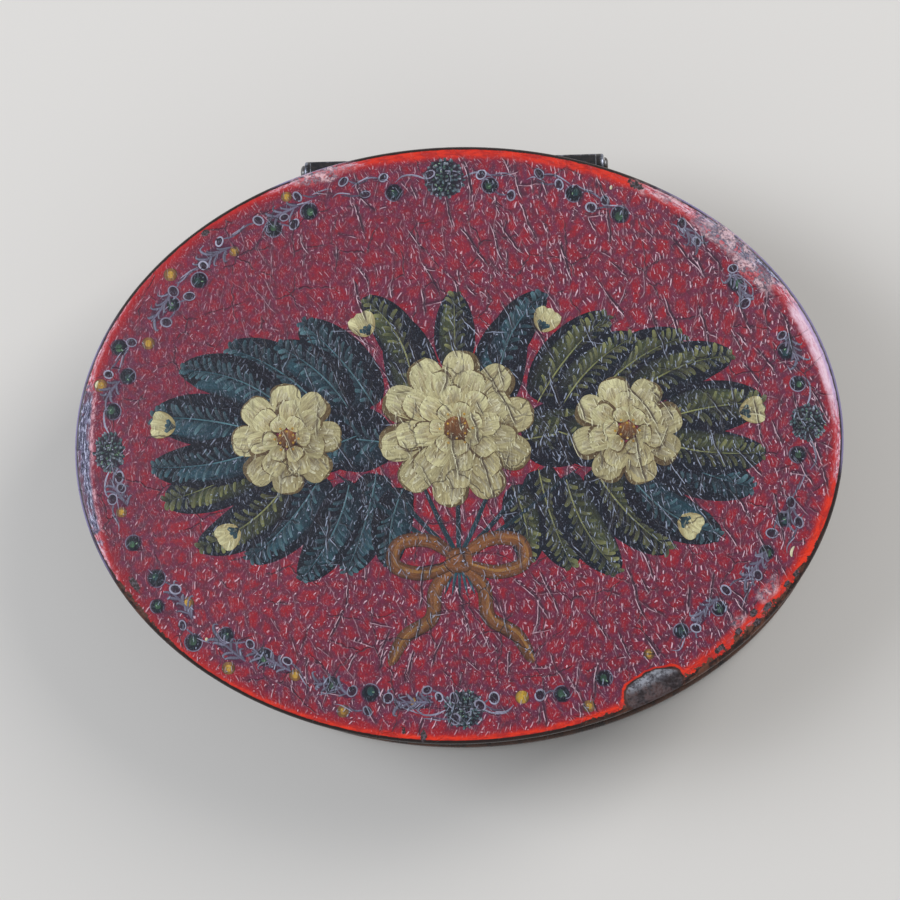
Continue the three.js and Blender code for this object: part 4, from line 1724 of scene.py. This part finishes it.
    def scrolls(self):
        """Sprays along the border, and stems from the rings and the rosettes."""
        tint = colours()
        pot = PaintPot(53)
        rand = pot.random
        for start, end in SPRAYS:
            self.spray(pot, from_photo(*start), from_photo(*end))
        for index, place in enumerate(RINGS):
            middle = from_photo(*place)
            out = outward(middle)
            along = left_of(out) * (1 if index % 2 else -1)
            depth = (HALF_WIDTH * (1 - edge_share(middle.x, middle.y, 0))) / MM
            drift = out * (depth - 3.2) * 0.6 * MM
            start = middle + along * 0.5 * MM
            bow = out * rand.uniform(-0.5, 0.5) * MM
            points = [start, start + along * 1.0 * MM + drift * 0.4 + bow, start + along * 2.4 * MM + drift]
            pot.stroke(spline(points), 0.13 * MM, tint.lilac, tint.smear, steps=12, taper=0.3)
            shifted = [point + out * 0.22 * MM for point in points[1:]]
            shifted.append(points[-1] + along * 0.9 * MM + out * rand.uniform(-0.6, 0.6) * MM)
            pot.stroke(spline(shifted), 0.09 * MM, tint.lavender, tint.lilac, level=1, steps=10, taper=0.4)
        for *place, half_length, _ in ROSETTES:
            middle = from_photo(*place)
            out = outward(middle)
            for way in (-1, 1):
                along = left_of(out) * way
                start = middle + along * (half_length - 0.3) * MM
                points = [
                    start,
                    start + (along * 1.2 + out * 0.5) * MM,
                    start + (along * 2.6 + out * 0.5) * MM,
                    start + (along * 3.6 - out * 0.3) * MM,
                ]
                pot.stroke(spline(points), 0.13 * MM, tint.lavender, tint.lilac, level=1, steps=16, taper=0.4)
        return pot

    def spray(self, pot, start, end):
        """A stem on a dark smear, with tapered curls like a fern's to both sides."""
        tint = colours()
        rand = pot.random
        ahead = end - start
        length = ahead.length
        direction = math.atan2(ahead.y, ahead.x)
        bend = rand.uniform(-0.14, 0.14)
        stem = line_path(start, direction, length, bend)
        pot.stroke(stem, 0.85 * MM, tint.veil, tint.smear, tint.veil, steps=14, sides=10)
        pot.stroke(stem, 0.24 * MM, tint.lilac, tint.lilac, tint.smear, level=2, steps=16, taper=0.4)
        count = max(5, int(length / MM / 0.5))
        for index in range(count):
            way = 1 if index % 2 else -1
            root = stem(0.05 + 0.9 * index / count)
            ray = ray_at(direction + way * rand.uniform(0.25, 0.8))
            side = left_of(ray) * way
            size = rand.uniform(0.8, 1.6) * MM
            curl = rand.uniform(0.2, 1.0)
            points = [root, root + ray * size * 0.7, root + ray * size * 1.1 + side * size * 0.3 * curl]
            points.append(root + ray * size * (1.3 - 0.5 * curl) + side * size * 0.7 * curl)
            shade = blend(tint.lilac, tint.lavender, rand.uniform(0.0, 0.6))
            half = rand.uniform(0.15, 0.27) * MM
            pot.stroke(spline(points), half, tint.lilac, shade, tint.slate, level=3, steps=12, taper=0.7)


class SNUFFBOX_OT_bouquet(bpy.types.Operator):
    """Paint a plain folk bouquet in the middle of the lid: flowers, leaves and a bow"""

    bl_idname = "snuff_box.bouquet"
    bl_label = "Bouquet"

    def execute(self, context):
        tint = colours()
        # The paint's cracks also carry painted shade, and its glints are painted highlights
        looks = (0.05, tint.paint_crack_and_shade, tint.paint_glint)
        material = material_once("bouquet_paint", paint_material, *looks)
        self.leaves().piece("paint_bouquet_leaves", material)
        self.bow().piece("paint_bouquet_bow", material)
        # Over the petals, the painted glints take the petals' lightest colour and the painted shade a brown
        looks = (0.02, tint.petal_crack_and_shade, tint.petal_light)
        material = material_once("petal_paint", paint_material, *looks)
        self.flowers().piece("paint_bouquet_flowers", material)
        return {"FINISHED"}

    def leaf(self, pot, start, degrees, length, half_width, bend, olive, level=0):
        """A dark leaf with a lit half, a midrib and comma strokes down both sides."""
        tint = colours()
        rand = pot.random
        start = Vector(start) * MM
        direction = math.radians(degrees)
        path = line_path(start, direction, length * MM, bend)
        lit_shade = tint.olive if olive else tint.teal
        rib = tint.moss if olive else tint.teal_light
        shape = {"level": level, "steps": 22, "sides": 16, "taper": 0.25}
        pot.stroke(path, half_width * MM, tint.night, tint.berry, tint.night, **shape)
        side = left_of(ray_at(direction))
        lit = line_path(start + side * half_width * 0.3 * MM, direction, length * 0.86 * MM, bend)
        shape = {"level": level + 1, "steps": 16, "sides": 12, "taper": 0.3}
        pot.stroke(lit, half_width * 0.5 * MM, tint.night, lit_shade, tint.night, **shape)
        count = int(length / 0.85)
        for index in range(1, count):
            share = index / count
            room = half_width * (1 - abs(2 * share - 1) ** 2) ** 0.5 * (1 - 0.25 * share)
            for way in (-1, 1):
                angle = direction + way * math.radians(rand.uniform(38, 54))
                light = blend(lit_shade, rib, rand.uniform(0.1, 1.0))
                if way < 0:
                    light = blend(light, tint.night, 0.45)
                stroke = line_path(path(share), angle, room * rand.uniform(0.8, 1.0) * MM, -0.16 * way)
                half = rand.uniform(0.16, 0.26) * MM
                pot.stroke(stroke, half, tint.night, light, level=level + 2, steps=10, taper=-0.4)
        pot.stroke(path, 0.13 * MM, rib, lit_shade, level=level + 3, steps=18, taper=0.6)

    def leaves(self):
        """Two layers of leaves, more olive on the right and more teal on the left."""
        pot = PaintPot(71)
        for level, layer in ((0, LEAVES_BEHIND), (FRONT_LEAF_LEVEL, LEAVES_BEFORE)):
            for way in (-1, 1):
                for index, (x, y, degrees, length, half_width, bend) in enumerate(layer):
                    mirrored = degrees if way > 0 else 180 - degrees
                    olive = way > 0 if index % 4 else way < 0
                    self.leaf(pot, (way * x, y), mirrored, length, half_width, way * bend, olive, level)
        self.leaf(pot, (0, 8), 90, 9.0, 2.6, 0.0, True, FRONT_LEAF_LEVEL)
        return pot

    def flower(self, pot, middle, radius, petals, rings):
        """Rings of petals from the outside in, each ring smaller and lighter, and a seeded eye."""
        tint = colours()
        rand = pot.random
        middle = Vector(middle) * MM
        sunward = Vector(SUNWARD)
        for ring in range(rings):
            level = FLOWER_LEVEL + ring * RING_LAYERS
            outer = radius * (1 - ring / (rings + 0.6))
            inner = outer * 0.36
            count = petals - ring
            turn = ring * 0.4 + rand.uniform(0, 0.3)
            for index in range(count):
                angle = turn + FULL_TURN * index / count
                ray = ray_at(angle)
                shaded = 0.32 - 0.32 * ray.dot(sunward) - 0.12 * ring
                light = blend(tint.cream, tint.tan, min(1.0, max(0.0, shaded)))
                dark = blend(tint.tan, tint.umber, min(1.0, max(0.0, shaded + 0.15)))
                half_width = math.pi * outer / count * 0.62 * MM
                long = (outer - inner) * MM
                path = line_path(middle + ray * inner * MM, angle, long, rand.uniform(-0.06, 0.06))
                shadow = line_path(middle + ray * inner * MM, angle, long + 0.1 * MM)
                outline = blend(tint.umber, tint.tan, 0.3)
                shape = {"steps": 18, "sides": 16, "taper": -0.25, "fullness": 2.6}
                pot.stroke(shadow, half_width * 1.04, tint.umber, outline, level=level, **shape)
                pot.stroke(path, half_width, dark, light, blend(light, dark, 0.35), level=level + 1, **shape)
                for lean in PETAL_LINES:
                    start = middle + ray * (inner + (outer - inner) * rand.uniform(0.2, 0.45)) * MM
                    start += left_of(ray) * half_width * lean
                    fleck = line_path(start, angle - lean * 0.3, long * rand.uniform(0.35, 0.6), lean * 0.1)
                    shade = blend(tint.petal_light, dark, rand.uniform(0.0, 0.7))
                    half = rand.uniform(0.1, 0.2) * MM
                    pot.stroke(fleck, half, dark, shade, level=level + 2, steps=8, taper=-0.4)
        level = FLOWER_LEVEL + rings * RING_LAYERS
        eye = radius * 0.17 * MM
        path = line_path(middle - Vector((0, eye)), math.pi / 2, 2 * eye)
        pot.stroke(path, eye, tint.umber, tint.ochre, level=level, steps=12, sides=16)
        for index in range(EYE_SEEDS):
            angle = FULL_TURN * index / EYE_SEEDS
            seed = line_path(middle + ray_at(angle) * eye * (0.6 if index % 2 else 1.1), angle, 0.35 * MM)
            pot.stroke(seed, 0.15 * MM, tint.ochre, tint.yellow, level=level + 1, steps=6)

    def bud(self, pot, middle, degrees):
        """Three closed petals in three dark sepals."""
        tint = colours()
        middle = Vector(middle) * MM
        for lean in (-28, 28, 0):
            angle = math.radians(degrees + lean)
            path = line_path(middle, angle, 2.9 * MM, -lean / 300)
            level = FLOWER_LEVEL if lean else FLOWER_LEVEL + 1
            pot.stroke(path, 0.95 * MM, tint.tan, tint.cream, tint.tan, level=level, steps=14, sides=12)
        for lean in (-40, 0, 40):
            angle = math.radians(degrees + lean)
            path = line_path(middle, angle, 1.4 * MM, -lean / 200)
            pot.stroke(path, 0.35 * MM, tint.night, tint.teal, level=FLOWER_LEVEL + 2, steps=8)

    def flowers(self):
        pot = PaintPot(89)
        for way in (-1, 1):
            self.flower(pot, (way * 19, 0.8), 6.2, 8, 3)
            for x, y, lean in BUDS:
                self.bud(pot, (way * x, y), 90 - way * lean)
        self.flower(pot, (0, 1.5), 8.8, 10, 4)
        return pot

    def bow(self):
        """Stems gathered by an ochre ribbon with two loops and two tails."""
        tint = colours()
        pot = PaintPot(97)
        knot = Vector(KNOT) * MM
        dull = blend(tint.ochre, tint.umber, 0.4)
        for x in STEM_PLACES:
            points = [Vector((x * 1.15, -3.0)) * MM, Vector((x * 0.5, -9.0)) * MM, knot]
            points.append(Vector((-x * 0.22, -17.2)) * MM)
            pot.stroke(spline(points), 0.3 * MM, tint.berry, tint.teal, level=STEM_LEVEL, steps=18, taper=0.3)
        for way in (-1, 1):
            for points, level in ((BOW_TAIL, STEM_LEVEL + 1), (BOW_LOOP, STEM_LEVEL + 4)):
                line = [Vector((way * x, y)) * MM for x, y in points]
                shape = {"level": level, "steps": 34, "sides": 12, "fullness": 6}
                pot.stroke(spline(line), 0.8 * MM, tint.ochre, dull, tint.umber, **shape)
                lit = [point + Vector((0.2, 0.15)) * MM for point in line]
                shape = {"level": level + 2, "steps": 28, "fullness": 3}
                pot.stroke(spline(lit), 0.22 * MM, tint.ochre, tint.amber, **shape)
        path = line_path(knot + Vector((-1.5, 0)) * MM, 0, 3.0 * MM)
        shape = {"level": KNOT_LEVEL, "steps": 16, "sides": 16, "fullness": 4}
        pot.stroke(path, 1.4 * MM, tint.ochre, tint.ochre, tint.umber, **shape)
        return pot


class SNUFFBOX_OT_stage(bpy.types.Operator):
    """Lay the plain floor and set the lamps, the surroundings and the camera"""

    bl_idname = "snuff_box.stage"
    bl_label = "Stage"

    def execute(self, context):
        self.floor()
        self.lamps()
        self.surroundings()
        self.camera()
        context.scene.view_settings.view_transform = "Standard"
        return {"FINISHED"}

    def floor(self):
        bm = bmesh.new()
        bmesh.ops.create_grid(bm, x_segments=1, y_segments=1, size=3.0)
        mesh = bpy.data.meshes.new("stage_floor")
        bm.to_mesh(mesh)
        bm.free()
        mesh.materials.append(material_once("stage_floor", floor_material))
        floor = bpy.data.objects.new("stage_floor", mesh)
        bpy.context.scene.collection.objects.link(floor)

    def lamps(self):
        aim = Vector((0, 0, LID_SEAT))
        for name, place, width, height, power, colour in WINDOWS:
            lamp = bpy.data.lights.new(name, "AREA")
            lamp.shape = "RECTANGLE"
            lamp.size = width
            lamp.size_y = height
            lamp.energy = power
            lamp.color = colour
            lit = bpy.data.objects.new(name, lamp)
            lit.location = place
            lit.rotation_euler = (aim - Vector(place)).to_track_quat("-Z", "Y").to_euler()
            bpy.context.scene.collection.objects.link(lit)

    def surroundings(self):
        world = bpy.data.worlds.new("plain_room")
        bpy.context.scene.world = world
        world.use_nodes = True
        background = world.node_tree.nodes["Background"]
        background.inputs["Color"].default_value = ROOM_LIGHT
        background.inputs["Strength"].default_value = stage_settings().sky

    def camera(self):
        stage = stage_settings()
        right, up, back = camera_axes(stage.tilt, stage.yaw, stage.roll)
        lens = bpy.data.cameras.new("camera")
        lens.lens = stage.lens
        lens.sensor_width = SENSOR_WIDTH
        lens.clip_start = 0.01
        camera = bpy.data.objects.new("camera", lens)
        turn = Matrix((right, up, back)).transposed().to_4x4()
        camera.matrix_world = Matrix.Translation(Vector(stage.aim) + back * stage.distance) @ turn
        bpy.context.scene.collection.objects.link(camera)
        bpy.context.scene.camera = camera


class SNUFFBOX_PT_panel(bpy.types.Panel):
    """Lists the box's operators, sizes and colours"""

    bl_idname = "SNUFFBOX_PT_panel"
    bl_label = "Snuff Box"
    bl_space_type = "VIEW_3D"
    bl_region_type = "UI"
    bl_category = "Snuff Box"

    def draw(self, context):
        for operator in OPERATORS:
            self.layout.operator(operator.bl_idname)
        for group in (sizes(), colours(), stage_settings()):
            box = self.layout.box()
            for name in group.bl_rna.properties.keys():
                if name not in ("name", "rna_type"):
                    box.prop(group, name)


GROUPS = (SnuffBoxSizes, SnuffBoxColours, SnuffBoxStage)
OPERATORS = (
    SNUFFBOX_OT_stage,
    SNUFFBOX_OT_body,
    SNUFFBOX_OT_lid,
    SNUFFBOX_OT_hinge,
    SNUFFBOX_OT_garland,
    SNUFFBOX_OT_bouquet,
)


def register():
    for item in (*GROUPS, *OPERATORS, SNUFFBOX_PT_panel):
        bpy.utils.register_class(item)
    bpy.types.Scene.snuff_box_sizes = PointerProperty(type=SnuffBoxSizes)
    bpy.types.Scene.snuff_box_colours = PointerProperty(type=SnuffBoxColours)
    bpy.types.Scene.snuff_box_stage = PointerProperty(type=SnuffBoxStage)


def unregister():
    del bpy.types.Scene.snuff_box_stage
    del bpy.types.Scene.snuff_box_colours
    del bpy.types.Scene.snuff_box_sizes
    for item in reversed((*GROUPS, *OPERATORS, SNUFFBOX_PT_panel)):
        bpy.utils.unregister_class(item)


def main():
    register()
    bpy.ops.snuff_box.stage()
    bpy.ops.snuff_box.body()
    bpy.ops.snuff_box.lid()
    bpy.ops.snuff_box.hinge()
    bpy.ops.snuff_box.garland()
    bpy.ops.snuff_box.bouquet()


if __name__ == "__main__":
    main()
